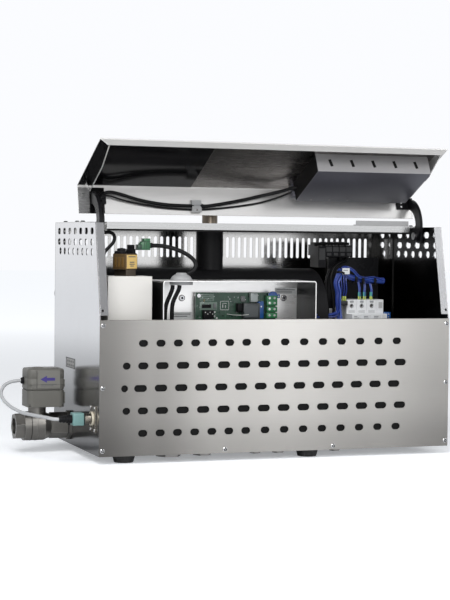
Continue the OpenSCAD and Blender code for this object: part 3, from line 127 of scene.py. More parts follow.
def framesAlong(path, lead, spare):
    # two directions across the route at each point, carried along it without twisting
    ways = [(path[min(i + 1, len(path) - 1)] - path[max(i - 1, 0)]).normalized() for i in range(len(path))]
    side = ways[0].cross(Vector(lead) if abs(ways[0].dot(Vector(lead))) < 0.9 else Vector(spare)).normalized()
    frames = []
    for way in ways:
        side = (side - way * side.dot(way)).normalized()
        frames.append((side.copy(), way.cross(side)))
    return frames


class Shape:
    # collects faces and the names of their finishes, then makes one piece of them
    def __init__(self, place=at):
        self.verts, self.faces, self.marks, self.finishes = [], [], [], []
        self.place = place

    def add(self, verts, faces, finish):
        if finish not in self.finishes:
            self.finishes.append(finish)
        start = len(self.verts)
        self.verts += [self.place(*v) for v in verts]
        self.faces += [[start + i for i in f] for f in faces]
        self.marks += [self.finishes.index(finish)] * len(faces)

    def loft(self, rings, finish, capped=(True, True)):
        # rings of equal count, in order; the ends are closed by a face
        n = len(rings[0])
        faces = [[i * n + k, i * n + (k + 1) % n, (i + 1) * n + (k + 1) % n, (i + 1) * n + k]
                 for i in range(len(rings) - 1) for k in range(n)]
        if capped[0]:
            faces.append(list(range(n))[::-1])
        if capped[1]:
            faces.append([(len(rings) - 1) * n + k for k in range(n)])
        self.add([v for ring in rings for v in ring], faces, finish)

    def tube(self, points, radius, finish, sides=12, steps=4):
        path = smoothRoute(points, steps) if steps > 1 else [Vector(q) for q in points]
        frames = framesAlong(path, (0, 0, 1), (0, 1, 0))
        self.loft([[p + radius * circleOf(*pair, math.tau * k / sides) for k in range(sides)]
                   for p, pair in zip(path, frames)], finish)
        return path

    def turned(self, profile, origin, axis, finish, sides=32, capped=(True, True)):
        # profile of (radius, height): a radius may be a function of the angle
        index = "xyz".index(axis)
        u, v, w = (Matrix.Identity(3)[(index + k) % 3] for k in (1, 2, 0))
        rings = []
        for r, h in profile:
            angles = [math.tau * k / sides for k in range(sides)]
            rings.append([Vector(origin) + (r(a) if callable(r) else r) * circleOf(u, v, a) + w * h for a in angles])
        if profile[-1][1] < profile[0][1]:
            rings.reverse()
            capped = capped[::-1]
        self.loft(rings, finish, capped)

    def block(self, low, high, finish, round=0.0, segments=2, turn=0.0, pivot=None):
        # a box with its edges rounded, turned in plan about its middle or the pivot
        bm = bmesh.new()
        bmesh.ops.create_cube(bm, size=1)
        low, high = Vector(low), Vector(high)
        for vert in bm.verts:
            vert.co = Vector(low[i] + (vert.co[i] + 0.5) * (high[i] - low[i]) for i in range(3))
        if round > 0:
            bmesh.ops.bevel(bm, geom=bm.edges[:], offset=round, segments=segments, affect="EDGES", profile=0.5)
        middle = Vector(pivot) if pivot else (low + high) / 2
        spin = Matrix.Rotation(math.radians(turn), 4, "Z")
        verts = [middle + spin @ (vert.co - middle) for vert in bm.verts]
        bm.verts.index_update()
        faces = [[vert.index for vert in face.verts] for face in bm.faces]
        bm.free()
        self.add(verts, faces, finish)

    def stack(self, middle, size, corner, levels, finish, sides=8):
        # rounded rectangle in plan, lofted through (height, inset)
        rings = []
        for h, inset in levels:
            r = max(corner - inset, 0.3)
            a, b = (length / 2 - inset - r for length in size)
            turns = [(q, math.pi / 2 * (q + k / (sides - 1))) for q in range(4) for k in range(sides)]
            flat = [Vector((a * (1, -1, -1, 1)[q] + r * math.cos(t), b * (1, 1, -1, -1)[q] + r * math.sin(t)))
                    for q, t in turns]
            rings.append([(middle[0] + p.x, middle[1] + p.y, h) for p in flat])
        self.loft(rings, finish)

    def sheetOf(self, outline, thick, finish, plane, level):
        # a flat outline in X-Z or Y-Z with a thickness
        n = len(outline)
        verts = [(a, d, b) if plane == "xz" else (d, a, b) for d in (level, level + thick) for a, b in outline]
        faces = [list(range(n)), list(range(2 * n - 1, n - 1, -1))]
        faces += [[k, k + n, (k + 1) % n + n, (k + 1) % n] for k in range(n)]
        self.add(verts, faces, finish)

    def piece(self, name, body, replaces=(), sharp=32):
        mesh = bpy.data.meshes.new(name)
        mesh.from_pydata([tuple(v) for v in self.verts], [], self.faces)
        for finish in self.finishes:
            mesh.materials.append(look[finish])
        bm = bmesh.new()
        bm.from_mesh(mesh)
        bm.faces.ensure_lookup_table()
        for face, mark in zip(bm.faces, self.marks):
            face.material_index = mark
            face.smooth = True
        bmesh.ops.recalc_face_normals(bm, faces=bm.faces[:])
        for edge in bm.edges:
            edge.smooth = len(edge.link_faces) == 2 and edge.calc_face_angle(0) < math.radians(sharp)
        bm.to_mesh(mesh)
        bm.free()
        obj = show(name, mesh)
        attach(obj, body)
        if replaces:
            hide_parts(*replaces)
        return obj


def hexagon(across, cap):
    # radius at each angle of a hexagon whose corners are turned down to cap
    def radius(a):
        return min(across / 2 / math.cos(a % (math.pi / 3) - math.pi / 6), cap)
    return radius


def node(tree, kind, *values, **settings):
    # inputs take numbers or other sockets, by place or by name; None leaves an input alone
    made = tree.nodes.new("ShaderNode" + kind)
    inputs = dict(enumerate(values))
    for key, value in settings.items():
        if hasattr(made, key):
            setattr(made, key, value)
        else:
            inputs[key.replace("_", " ")] = value
    for key, value in inputs.items():
        if isinstance(value, bpy.types.NodeSocket):
            tree.links.new(value, made.inputs[key])
        elif value is not None:
            made.inputs[key].default_value = value
    return made


def maths(tree, operation, *values, **settings):
    return node(tree, "Math", *values, operation=operation, **settings).outputs[0]


def mixed(tree, factor, first, second, blend="MIX"):
    return node(tree, "Mix", factor, *[None] * 5, first, second, data_type="RGBA", blend_type=blend).outputs[2]


def mapped(tree, *values, **settings):
    # value, from min, from max, to min, to max
    return node(tree, "MapRange", *values, **settings).outputs[0]


def clearTree(owner):
    owner.use_nodes = True
    owner.node_tree.nodes.clear()
    return owner.node_tree


def newGroup(name, inputs, *outputs):
    group = bpy.data.node_groups.new(name, "ShaderNodeTree")
    for title, value in inputs.items():
        kind = "NodeSocketVector" if isinstance(value, tuple) else "NodeSocketFloat"
        group.interface.new_socket(title, in_out="INPUT", socket_type=kind).default_value = value
    for title in outputs:
        kind = "NodeSocketVector" if title == "Normal" else "NodeSocketFloat"
        group.interface.new_socket(title, in_out="OUTPUT", socket_type=kind)
    return group, group.nodes.new("NodeGroupInput").outputs, group.nodes.new("NodeGroupOutput").inputs


def noiseOn(group, place, scale, detail, roughness):
    return node(group, "TexNoise", Vector=place, Scale=scale, Detail=detail, Roughness=roughness).outputs["Fac"]


def brushGroup():
    # fine lines drawn out along one direction
    group, given, out = newGroup("brushLines", {"Stretch": (1, 1, 1), "Scale": 900.0}, "Lines")
    place = node(group, "TexCoord").outputs["Object"]
    drawn = node(group, "VectorMath", place, given["Stretch"], operation="MULTIPLY").outputs[0]
    group.links.new(noiseOn(group, drawn, given["Scale"], 3.0, 0.65), out["Lines"])
    return group


def mottleGroup():
    # soft patches: handling marks, dust and uneven colour
    group, given, out = newGroup("softPatches", {"Scale": 12.0, "Contrast": 1.0}, "Patches")
    noise = noiseOn(group, node(group, "TexCoord").outputs["Object"], given["Scale"], 5.0, 0.6)
    strong = maths(group, "MULTIPLY", maths(group, "SUBTRACT", noise, 0.5), given["Contrast"])
    group.links.new(maths(group, "ADD", strong, 0.5, use_clamp=True), out["Patches"])
    return group


def grainGroup():
    # fine surface grain, as height
    group, given, out = newGroup("fineGrain", {"Scale": 1500.0}, "Height")
    place = node(group, "TexCoord").outputs["Object"]
    group.links.new(noiseOn(group, place, given["Scale"], 2.0, 0.5), out["Height"])
    return group


def edgeGroup():
    # rounds sharp edges for the light, and marks where they are
    group, given, out = newGroup("wornEdges", {"Radius": 0.0008}, "Normal", "Edges")
    softened = node(group, "Bevel", given["Radius"], samples=4).outputs["Normal"]
    plain = node(group, "NewGeometry").outputs["Normal"]
    match = node(group, "VectorMath", softened, plain, operation="DOT_PRODUCT").outputs["Value"]
    edges = maths(group, "MULTIPLY", maths(group, "SUBTRACT", 1.0, match), 5.0, use_clamp=True)
    group.links.new(softened, out["Normal"])
    group.links.new(edges, out["Edges"])
    return group


groups = {"brush": brushGroup(), "mottle": mottleGroup(), "grain": grainGroup(), "edge": edgeGroup()}
surface = {"coatRough": 0.12, "brushSpan": (0.3, 0.7), "brushGloss": 0.12, "bump": 0.12, "bumpDepth": 0.0002}


def makeFinish(name, color, rough, metallic, shade, patch=14.0, roughSpread=0.08, grain=0.0, grainScale=1500.0,
               brush=None, brushDepth=0.0, edge=0.0, edgeShine=0.0, coat=0.0, specular=0.5, second=None, contrast=1.4,
               sweeps=(), sides=()):
    # two tones in soft patches, uneven gloss, grain or brushing, rounded edges, and painted reflection and shade: tones
    # across a panel and on faces by the way they look
    material = bpy.data.materials.new(name)
    tree = clearTree(material)
    patches = node(tree, "Group", node_tree=groups["mottle"], Scale=patch, Contrast=contrast).outputs[0]
    tone = mixed(tree, patches, (*color, 1), (*(second or [c * shade for c in color]), 1))
    gloss = mapped(tree, patches, 0.0, 1.0, max(rough - roughSpread, 0.01), rough + roughSpread)
    height = normal = None
    if brush:
        height = node(tree, "Group", node_tree=groups["brush"], Stretch=brush).outputs[0]
        tone = mixed(tree, 1.0, tone, mapped(tree, height, *surface["brushSpan"], 1 - brushDepth, 1.0), "MULTIPLY")
        gloss = maths(tree, "MULTIPLY_ADD", height, surface["brushGloss"], gloss)
    if grain:
        height = node(tree, "Group", node_tree=groups["grain"], Scale=grainScale).outputs[0]
    if edge:
        worn = node(tree, "Group", node_tree=groups["edge"], Radius=edge).outputs
        normal = worn["Normal"]
        if edgeShine:
            tone = mixed(tree, worn["Edges"], tone, (*[min(1, c + edgeShine) for c in color], 1))
    if sweeps or sides:
        # painted reflection and shade: a tone that changes evenly across a large panel, and faces that are darker by
        # the way they look
        where = node(tree, "TexCoord").outputs
        place, facing = (node(tree, "SeparateXYZ", where[kind]).outputs for kind in ("Object", "Normal"))
        plans = [(place[axis], stops, *inner) for axis, stops, *inner in sweeps]
        for source, stops, *inner in plans + [(facing[axis], stops) for axis, stops in sides]:
            first, last = stops[0][0], stops[-1][0]
            ramp = node(tree, "ValToRGB", mapped(tree, source, first, last))
            ramp.color_ramp.interpolation = "EASE"
            while len(ramp.color_ramp.elements) < len(stops):
                ramp.color_ramp.elements.new(0.5)
            for element, (spot, tint) in zip(ramp.color_ramp.elements, stops):
                element.position = (spot - first) / (last - first)
                element.color = (tint, tint, tint, 1)
            # a sweep that names an axis stays on the face that looks along it backwards
            factor = maths(tree, "LESS_THAN", facing[inner[0]], 0.0) if inner else 1.0
            tone = mixed(tree, factor, tone, ramp.outputs[0], "MULTIPLY")
    if height is not None:
        normal = node(tree, "Bump", Height=height, Strength=grain or surface["bump"], Distance=surface["bumpDepth"],
                      Normal=normal).outputs[0]
    lacquer = {"Coat Weight": coat, "Coat Roughness": surface["coatRough"]} if coat else {}
    shader = node(tree, "BsdfPrincipled", Base_Color=tone, Roughness=gloss, Metallic=metallic, Normal=normal,
                  Specular_IOR_Level=specular, **lacquer)
    node(tree, "OutputMaterial", shader.outputs[0])
    return material


# finishes: colour, roughness, metallic, tone of the second patches, then what else differs
acrossX, acrossZ = (0.02, 1, 1), (1, 1, 0.02)


def paintedShadeFacing(axis, *tints, turns=(-1.0, -0.8, -0.4, 1.0)):
    # painted shade and dark reflection: faces that look back along the axis are darker
    return axis, list(zip(turns, (*tints, 1.0, 1.0)))


finishes = {
    # the front's sweeps paint reflection and shade: brightest near the middle, darker to the left, the right and the
    # bottom
    "satinFront": ((0.735, 0.710, 0.672), 0.30, 1.0, 0.93, dict(
        patch=5, brush=acrossX, brushDepth=0.035, edge=0.0006, sweeps=[
            ("X", [(-0.245, 0.27), (-0.16, 0.50), (-0.05, 0.90), (0.06, 1.0), (0.20, 0.84), (0.335, 0.60)]),
            ("Z", [(0.012, 0.60), (0.10, 0.86), (0.215, 1.0)])])),
    # the left side's sweep paints its reflection, dark at the bottom and bright at the top; its inner faces and
    # front-facing faces are darker as painted shade
    "polishedSide": ((0.80, 0.80, 0.81), 0.10, 1.0, 0.96, dict(
        roughSpread=0.03, brush=acrossZ, brushDepth=0.03, edge=0.0008,
        sweeps=[("Z", [(0.012, 0.10), (0.07, 0.26), (0.13, 0.66), (0.20, 0.80), (0.365, 0.92)])],
        sides=[("X", [(-1.0, 1.0), (0.2, 1.0), (0.9, 0.45), (1.0, 0.40)]),
               paintedShadeFacing("Y", 0.40, 0.50, turns=(-1.0, -0.7, -0.3, 1.0))])),
    # the right side's inner face is painted near black as its dark reflection, and its front-facing faces are darker as
    # painted shade
    "paintedShadeRightSide": ((0.70, 0.70, 0.71), 0.14, 1.0, 0.96, dict(
        roughSpread=0.04, brush=acrossZ, brushDepth=0.03, edge=0.0008,
        sides=[paintedShadeFacing("X", 0.012, 0.012), paintedShadeFacing("Y", 0.72, 0.78, turns=(-1.0, -0.7, -0.3, 1.0))])),
    "satinLid": ((0.80, 0.79, 0.775), 0.16, 0.60, 0.96, dict(
        patch=5, roughSpread=0.03, brush=acrossX, brushDepth=0.03, edge=0.0006)),
    "brushedTop": ((0.66, 0.66, 0.65), 0.09, 1.0, 0.94, dict(
        roughSpread=0.03, brush=acrossX, brushDepth=0.05, edge=0.0006)),
    # the back panel's inner face darkens towards the right as a painted dark reflection, and faces looking along -X are
    # darker as painted shade
    "polishedBack": ((0.76, 0.75, 0.73), 0.07, 1.0, 0.94, dict(
        roughSpread=0.03, brush=acrossZ, brushDepth=0.04, sides=[paintedShadeFacing("X", 0.15, 0.15)],
        sweeps=[("X", [(-0.245, 1.0), (0.155, 1.0), (0.205, 0.30), (0.335, 0.12)], "Y")])),
    # the enclosure's faces that look along -X, such as its right inner wall, are painted near black as a dark
    # reflection
    "satinEnclosure": ((0.96, 0.95, 0.935), 0.24, 0.85, 0.97, dict(
        roughSpread=0.05, brush=acrossX, brushDepth=0.03, edge=0.0007, sides=[paintedShadeFacing("X", 0.02, 0.02)])),
    "whiteFeedBox": ((0.66, 0.645, 0.615), 0.38, 0.0, 0.96, dict(grain=0.05, edge=0.001, coat=0.2)),
    "blackPaint": ((0.007, 0.007, 0.008), 0.30, 0.0, 1.5, dict(grain=0.08, edge=0.0007, edgeShine=0.02, specular=0.12)),
    "blackFoam": ((0.006, 0.006, 0.0065), 0.45, 0.0, 1.9, dict(patch=30, grain=0.35, grainScale=700, specular=0.09)),
    "blackCable": ((0.006, 0.006, 0.0065), 0.38, 0.0, 1.5, dict(grain=0.05, specular=0.13)),
    "blackMould": ((0.007, 0.007, 0.008), 0.42, 0.0, 1.5, dict(
        grain=0.12, edge=0.0006, edgeShine=0.012, specular=0.10)),
    "greyCable": ((0.46, 0.47, 0.48), 0.42, 0.0, 0.92, dict(grain=0.06)),
    "blueWire": ((0.012, 0.034, 0.225), 0.36, 0.0, 0.7, dict(patch=60, coat=0.12)),
    "blueWireLight": ((0.028, 0.070, 0.34), 0.34, 0.0, 0.8, dict(patch=60, coat=0.12)),
    "footRubber": ((0.012, 0.012, 0.012), 0.62, 0.0, 1.6, dict(grain=0.2)),
    "castNickel": ((0.215, 0.207, 0.192), 0.36, 1.0, 0.78, dict(
        patch=40, grain=0.22, grainScale=1100, edge=0.0009, edgeShine=0.12)),
    "actuatorGrey": ((0.112, 0.109, 0.097), 0.46, 0.0, 0.92, dict(patch=22, grain=0.14, edge=0.001, edgeShine=0.03)),
    "turnedSteel": ((0.62, 0.62, 0.62), 0.24, 1.0, 0.9, dict(brush=acrossZ, brushDepth=0.1)),
    "brightSteel": ((0.72, 0.72, 0.73), 0.18, 1.0, 0.9),
    "dullSteel": ((0.33, 0.32, 0.31), 0.42, 1.0, 0.8, dict(grain=0.2)),
    "brassCast": ((0.62, 0.44, 0.17), 0.30, 1.0, 0.82, dict(grain=0.15, edge=0.0006, edgeShine=0.1)),
    "coilBrown": ((0.105, 0.062, 0.020), 0.34, 0.1, 0.8, dict(grain=0.15, edge=0.0008, edgeShine=0.06)),
    "coilGold": ((0.72, 0.50, 0.17), 0.34, 0.25, 0.88, dict(patch=80)),
    "coilAmber": ((0.17, 0.095, 0.025), 0.3, 0.1, 0.8, dict(patch=80, edge=0.0003)),
    "plugGreen": ((0.017, 0.100, 0.037), 0.36, 0.0, 0.85, dict(edge=0.0004, coat=0.12)),
    "plugDark": ((0.010, 0.040, 0.022), 0.36, 0.0, 0.85, dict(edge=0.0003)),
    "greyRubber": ((0.34, 0.345, 0.35), 0.48, 0.0, 0.9, dict(grain=0.1)),
    "boardGreen": ((0.010, 0.048, 0.026), 0.34, 0.0, 0.85, dict(
        second=(0.016, 0.070, 0.038), patch=90, contrast=3, coat=0.3)),
    "boardPale": ((0.19, 0.26, 0.22), 0.4, 0.0, 0.85, dict(patch=90)),
    "boardTrace": ((0.065, 0.165, 0.095), 0.32, 0.0, 0.85, dict(patch=90, coat=0.2)),
    "boardTerminal": ((0.035, 0.22, 0.085), 0.36, 0.0, 0.85, dict(edge=0.0004, edgeShine=0.05)),
    "labelPale": ((0.62, 0.63, 0.63), 0.42, 0.0, 0.95),
    "labelGrey": ((0.42, 0.42, 0.42), 0.40, 0.0, 0.94),
    "labelSide": ((0.33, 0.325, 0.31), 0.42, 0.2, 0.94, dict(patch=40)),
    "labelInk": ((0.075, 0.078, 0.082), 0.45, 0.0, 0.9, dict(patch=80)),
    "arrowViolet": ((0.035, 0.022, 0.18), 0.4, 0.0, 0.85),
    "partBlue": ((0.020, 0.10, 0.34), 0.32, 0.0, 0.85, dict(edge=0.0004)),
    "partGrey": ((0.17, 0.18, 0.18), 0.4, 0.0, 0.85, dict(edge=0.0004)),
    "partTan": ((0.38, 0.27, 0.13), 0.4, 0.0, 0.85, dict(patch=90)),
    "partSlate": ((0.045, 0.052, 0.056), 0.38, 0.0, 0.85, dict(grain=0.08, edge=0.0004, edgeShine=0.04)),
    "partSlateTop": ((0.085, 0.095, 0.10), 0.34, 0.0, 0.9, dict(patch=60)),
    "partClear": ((0.42, 0.47, 0.46), 0.25, 0.0, 0.85, dict(patch=80, coat=0.4, edge=0.0004)),
    "solderTin": ((0.70, 0.70, 0.70), 0.25, 1.0, 0.85),
    "silkWhite": ((0.62, 0.64, 0.62), 0.4, 0.0, 0.92, dict(patch=80)),
    "discBlue": ((0.010, 0.085, 0.36), 0.24, 0.0, 0.85, dict(patch=60, coat=0.5)),
    "breakerPale": ((0.70, 0.71, 0.72), 0.42, 0.0, 0.96, dict(grain=0.06, edge=0.0007, edgeShine=0.08)),
    "breakerShade": ((0.30, 0.31, 0.32), 0.45, 0.0, 0.9, dict(grain=0.06)),
    "tealMould": ((0.150, 0.280, 0.270), 0.40, 0.0, 0.9, dict(grain=0.08, edge=0.0006)),
    "creamMould": ((0.62, 0.57, 0.46), 0.42, 0.0, 0.9, dict(edge=0.0005)),
    "greyMould": ((0.009, 0.009, 0.0098), 0.40, 0.0, 0.8, dict(grain=0.1, edge=0.0004, edgeShine=0.03)),
    "socketMetal": ((0.30, 0.275, 0.235), 0.24, 1.0, 0.70, dict(patch=60, edge=0.0006, edgeShine=0.25)),
    "ferruleGreen": ((0.42, 0.50, 0.10), 0.4, 0.0, 0.9),
    "ferruleTeal": ((0.06, 0.32, 0.30), 0.4, 0.0, 0.9),
    "gearIvory": ((0.72, 0.70, 0.62), 0.45, 0.0, 0.95, dict(edge=0.0002)),
    "stripGrey": ((0.36, 0.36, 0.36), 0.34, 0.7, 0.9, dict(grain=0.06, edge=0.0004, edgeShine=0.05)),
    # black for holes, slots, recesses and gaps: painted shade
    "deepBlack": ((0.003, 0.003, 0.003), 0.55, 0.0, 1.4, dict(grain=0.1, specular=0.12)),
    "blackFilm": ((0.003, 0.003, 0.0033), 0.10, 0.0, 1.5, dict(patch=6, roughSpread=0.03, specular=0.16)),
    # the sweep across the slope's steel paints brighter and darker bands of reflection
    "slopeSteel": ((0.23, 0.215, 0.205), 0.20, 1.0, 0.8, dict(patch=5, brush=acrossX, brushDepth=0.05, sweeps=[
        ("X", [(-0.06, 0.75), (0.02, 1.0), (0.10, 1.6), (0.17, 0.8), (0.30, 0.9), (0.335, 2.4)])])),
    "endGrey": ((0.20, 0.20, 0.20), 0.22, 1.0, 0.75, dict(brush=acrossX, brushDepth=0.05)),
    "actuatorPale": ((0.150, 0.147, 0.132), 0.42, 0.0, 0.95, dict(patch=40, grain=0.05)),
    "actuatorSeam": ((0.055, 0.053, 0.048), 0.5, 0.0, 0.9, dict(patch=60, grain=0.1)),
    "valveSeam": ((0.05, 0.048, 0.045), 0.5, 1.0, 0.8, dict(patch=60, grain=0.1)),
    "pipeBrown": ((0.15, 0.125, 0.10), 0.32, 1.0, 0.7, dict(patch=50, grain=0.08)),
    # the dark sheet on the enclosure's right inner wall: painted dark reflection
    "paintedDarkWall": ((0.004, 0.004, 0.0045), 0.40, 0.0, 1.5, dict(patch=9, grain=0.06, specular=0.08)),
    # the lid box's steel in two copies: shadedBox, and a lighter copy for the front face, painted light where the front
    # is lit directly
    "shadedBox": ((0.115, 0.115, 0.135), 0.34, 0.55, 0.9, dict(
        patch=9, brush=acrossX, brushDepth=0.08, edge=0.0006, edgeShine=0.06)),
    "litBoxFront": ((0.33, 0.325, 0.33), 0.36, 0.5, 0.94, dict(patch=9, brush=acrossX, brushDepth=0.06, edge=0.0006)),
}
look = {name: makeFinish(name, *row[:4], **dict(*row[4:])) for name, row in finishes.items()}
print("finishes made")

cadFinish = {
    "brushedTop": "base_tray top_panel boiler_cradles enclosure_legs lid_box", "polishedSide": "left_side_panel",
    "paintedShadeRightSide": "right_side_panel", "polishedBack": "back_panel", "satinFront": "front_panel",
    "satinLid": "lid_shell", "satinEnclosure": "control_enclosure", "whiteFeedBox": "feed_box",
    "stripGrey": "lid_rest_strip", "blackPaint": "hinge_brackets hinge_arms mounting_plate",
    "turnedSteel": "hinge_pins drain_pipe inlet_pipe solenoid_plunger valve_stem",
    "brightSteel": "case_screws din_rails board_standoffs valve_ball drive_motor",
    "dullSteel": "heating_elements cable_glands", "pipeBrown": "boiler_tank solenoid_body",
    "blackFoam": "boiler_jacket riser_sleeve", "greyRubber": "cable_grommet cable_clip",
    "castNickel": "bulkhead_fitting valve_body valve_tailpiece", "actuatorGrey": "actuator_base actuator_cover",
    "gearIvory": "valve_seats output_gear", "brassCast": "motor_pinion", "socketMetal": "valve_socket",
    "boardGreen": "control_board", "blackMould": "relay_bank", "breakerPale": "breaker_body",
    "partBlue": "breaker_toggle", "footRubber": "rubber_feet",
}
for finish, names in cadFinish.items():
    for name in names.split():
        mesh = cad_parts[name].data
        mesh.materials.clear()
        mesh.materials.append(look[finish])

# drain valve cable, a free cord, and its plug
valveCable = {
    "route": [(-361, 189, 101), (-372, 189, 101), (-385, 186.5, 99), (-396, 181, 93.5), (-402.5, 171, 84),
              (-402, 157, 75), (-396, 140, 66.5), (-389, 122, 61.5), (-382, 104, 58.5), (-374, 84, 57.5),
              (-367, 64, 57), (-359, 46, 56.5), (-352, 35, 55.5), (-343, 32, 55)],
    "diameter": 5.5,
}
valveCord = Shape()
cordPath = valveCord.tube(valveCable["route"], valveCable["diameter"] / 2, "greyCable", sides=20, steps=6)
cordLength = sum((b - a).length for a, b in zip(cordPath, cordPath[1:])) / 1000
valveCordPiece = valveCord.piece("valveCable", "case", ["valve_cable"])
print("valve cable length", round(cordLength, 4))

plugPlan = {
    "face": (-305.3, 32, 55), "ribs": 5,
    "relief": [(6.5, 0), (6.5, 3.2), (5.5, 4), (5.5, 5.6), (6.3, 6.2), (6.1, 8.4), (5.1, 9.2), (5.1, 10.8), (5.8, 11.4),
               (5.5, 13.4), (4.7, 14.2), (4.7, 15.6), (5.2, 16.2), (4.6, 19.4), (3.4, 20)],
}
plug = Shape()
px, py, pz = plugPlan["face"]
plug.block((px - 19, py - 9.5, pz - 9.5), (px - 1.5, py + 9.5, pz + 9.5), "tealMould", 1.6, 3)
plug.block((px - 1.5, py - 8.6, pz - 8.6), (px, py + 8.6, pz + 8.6), "blackMould", 0.5)
for k in range(plugPlan["ribs"]):
    plug.block((px - 16 + 3 * k, py - 9.7, pz - 6), (px - 14.6 + 3 * k, py - 9.3, pz + 6), "tealMould", 0.15, 1)
plug.turned([(r, px - 19 - h) for r, h in plugPlan["relief"]], (0, py, pz), "x", "blackMould", 28)
plugPiece = plug.piece("valvePlug", "case", ["valve_plug"])
tuple(at(*valveCable["route"][0]))
[tuple(at(*p)) for p in cordPath]

# cables held by the case and the lid
heldCables = {
    "plugCable": {"node": "plug_cable", "body": "case", "size": 6.5, "route": [
        (-190, 71, 317), (-180, 71, 317), (-168, 70, 316), (-152, 66, 312), (-137, 60, 305), (-126, 55, 296),
        (-123, 52, 287), (-128, 50, 279), (-137, 50, 274), (-145, 50, 269)]},
    "lidCable": {"node": "lid_cable", "body": "lid", "size": 5.5, "route": [
        (-249, 112, 337), (-254, 112, 337), (-257, 110, 341), (-259.6, 104, 346), (-259.6, 99, 353),
        (-259.6, 101, 363), (-259.6, 108, 372), (-259.6, 117, 381), (-259, 125, 389), (-254, 131, 395),
        (-246, 135, 399), (-234, 138, 400), (-216, 138, 396), (-195, 137, 390), (-170, 136, 385), (-145, 135.5, 382),
        (-120, 135.5, 381), (-95, 135.5, 381), (-78, 135.5, 381), (-60, 135.6, 383.5), (-40, 136, 387),
        (-10, 136.5, 393), (15, 136, 399), (36, 131, 404), (50, 124, 408), (61, 116, 412), (69.4, 112.8, 413)]},
    "hingeCable": {"node": "hinge_cable", "body": "case", "size": 5.5, "route": [
        (-257, 92.4, 255), (-257, 99, 256), (-257, 104, 263), (-257, 108, 280), (-256, 111, 296), (-252, 112, 307),
        (-244.5, 112, 315), (-238.6, 112, 322), (-237, 112, 329), (-239.5, 112, 334.6), (-244, 112, 336.8),
        (-248.6, 112, 337)]},
}
for name, cable in heldCables.items():
    made = Shape()
    made.tube(cable["route"], cable["size"] / 2, "blackCable", sides=18, steps=6)
    made.piece(name, cable["body"], [cable["node"]])
print("cables made")


def screwHead(shape, place, way, radius, height, rim, recessShade):
    # pan head with a cross recess, facing the way given as an axis and a sign; the recess is a cross in the second
    # finish, as painted shade
    index, side = "xyz".index(way[0]), 1 if way[1] == "+" else -1
    shape.turned([(radius, 0), (radius, side * 0.4 * height), (0.82 * radius, side * 0.8 * height),
                  (0.5 * radius, side * height)], place, way[0], rim, 20)
    for a, b in ((0.6, 0.14), (0.14, 0.6)):
        size = [a * radius, b * radius]
        size.insert(index, 0)
        low, high = ([c + s * k for c, s in zip(place, size)] for k in (-1, 1))
        low[index], high[index] = sorted((place[index] + side * 0.5 * height, place[index] + side * (height + 0.03)))
        shape.block(low, high, recessShade)


def band(shape, middle, way, inner, outer, width, finish, sides=26):
    # a closed ring round the given direction
    way = Vector(way).normalized()
    first = way.cross(Vector((0, 1, 0)) if abs(way.y) < 0.9 else Vector((0, 0, 1))).normalized()
    other = way.cross(first)
    verts = []
    for k in range(sides):
        ray = circleOf(first, other, math.tau * k / sides)
        verts += [Vector(middle) + ray * r + way * w * width / 2
                  for r, w in ((inner, -1), (inner, 1), (outer, 1), (outer, -1))]
    faces = [[4 * k + c, 4 * k + (c + 1) % 4, 4 * ((k + 1) % sides) + (c + 1) % 4, 4 * ((k + 1) % sides) + c]
             for k in range(sides) for c in range(4)]
    shape.add(verts, faces, finish)


def bundle(shape, points, reach, count, size, tones, twist, seed, steps):
    # separate wires that wind slowly round a common route
    path = smoothRoute(points, steps)
    frames = framesAlong(path, (0, 1, 0), (0, 0, 1))
    chance = random.Random(seed)
    for wire in range(count):
        start, out = math.tau * wire / count + chance.uniform(-0.3, 0.3), reach * chance.uniform(0.72, 1.0)
        drift = [chance.uniform(-0.5, 0.5) for _ in range(4)]
        run = []
        for i, (p, pair) in enumerate(zip(path, frames)):
            t = i / (len(path) - 1)
            wave = sum(d * math.sin(math.pi * (n + 1) * t) for n, d in enumerate(drift)) * 0.6
            run.append(p + circleOf(*pair, start + twist * t + wave) * out)
        shape.tube(run, size, tones[wire % len(tones)], sides=8, steps=1)


# case: screws, a black sheet behind the front slots as painted shade, a painted shadow under the top panel's lip, side
# label
screwPlan = {"front": (3.6, 1.9), "top": (3.6, 1.95), "xs": (-285, 285), "zs": (9, 103, 197),
             "ys": (132, 167, 241), "strip": (205, 228, 240)}
screws = Shape()
frontPlaces = [(x, z) for x in screwPlan["xs"] for z in screwPlan["zs"]] + [(-90, 6), (90, 6)]
for x, z in frontPlaces:
    screwHead(screws, (x, 0, z), "y-", *screwPlan["front"], "brightSteel", "deepBlack")
for x, y in [(x, y) for x in (-283, 283) for y in screwPlan["ys"]]:
    screwHead(screws, (x, y, 353), "z+", *screwPlan["top"], "blackMould", "deepBlack")
for x in screwPlan["strip"]:
    screwHead(screws, (x, 98, 354.5), "z+", *screwPlan["top"], "dullSteel", "deepBlack")
for x, z in frontPlaces:
    # painted shade and highlight: a dark disc for the well of the recess, with a bright steel cross as painted glints
    # in it
    screws.turned([(2.55, -1.88), (2.55, -1.94)], (x, 0, z), "y", "deepBlack", 22)
    for wide, tall in ((1.7, 0.32), (0.32, 1.7)):
        screws.block((x - wide, -1.98, z - tall), (x + wide, -1.93, z + tall), "brightSteel")
screws.piece("caseScrews", "case", ["case_screws"])

# black sheets of painted shade: behind the front panel's slots, and a painted shadow under the top panel's lip
for name, low, high in (("paintedSlotShade", (-276, 1.9, 4), (276, 2.3, 200)),
                        ("topShade", (-256, 88.1, 339.6), (259.5, 89.3, 342.4))):
    dark = Shape()
    dark.block(low, high, "deepBlack")
    dark.piece(name, "case")

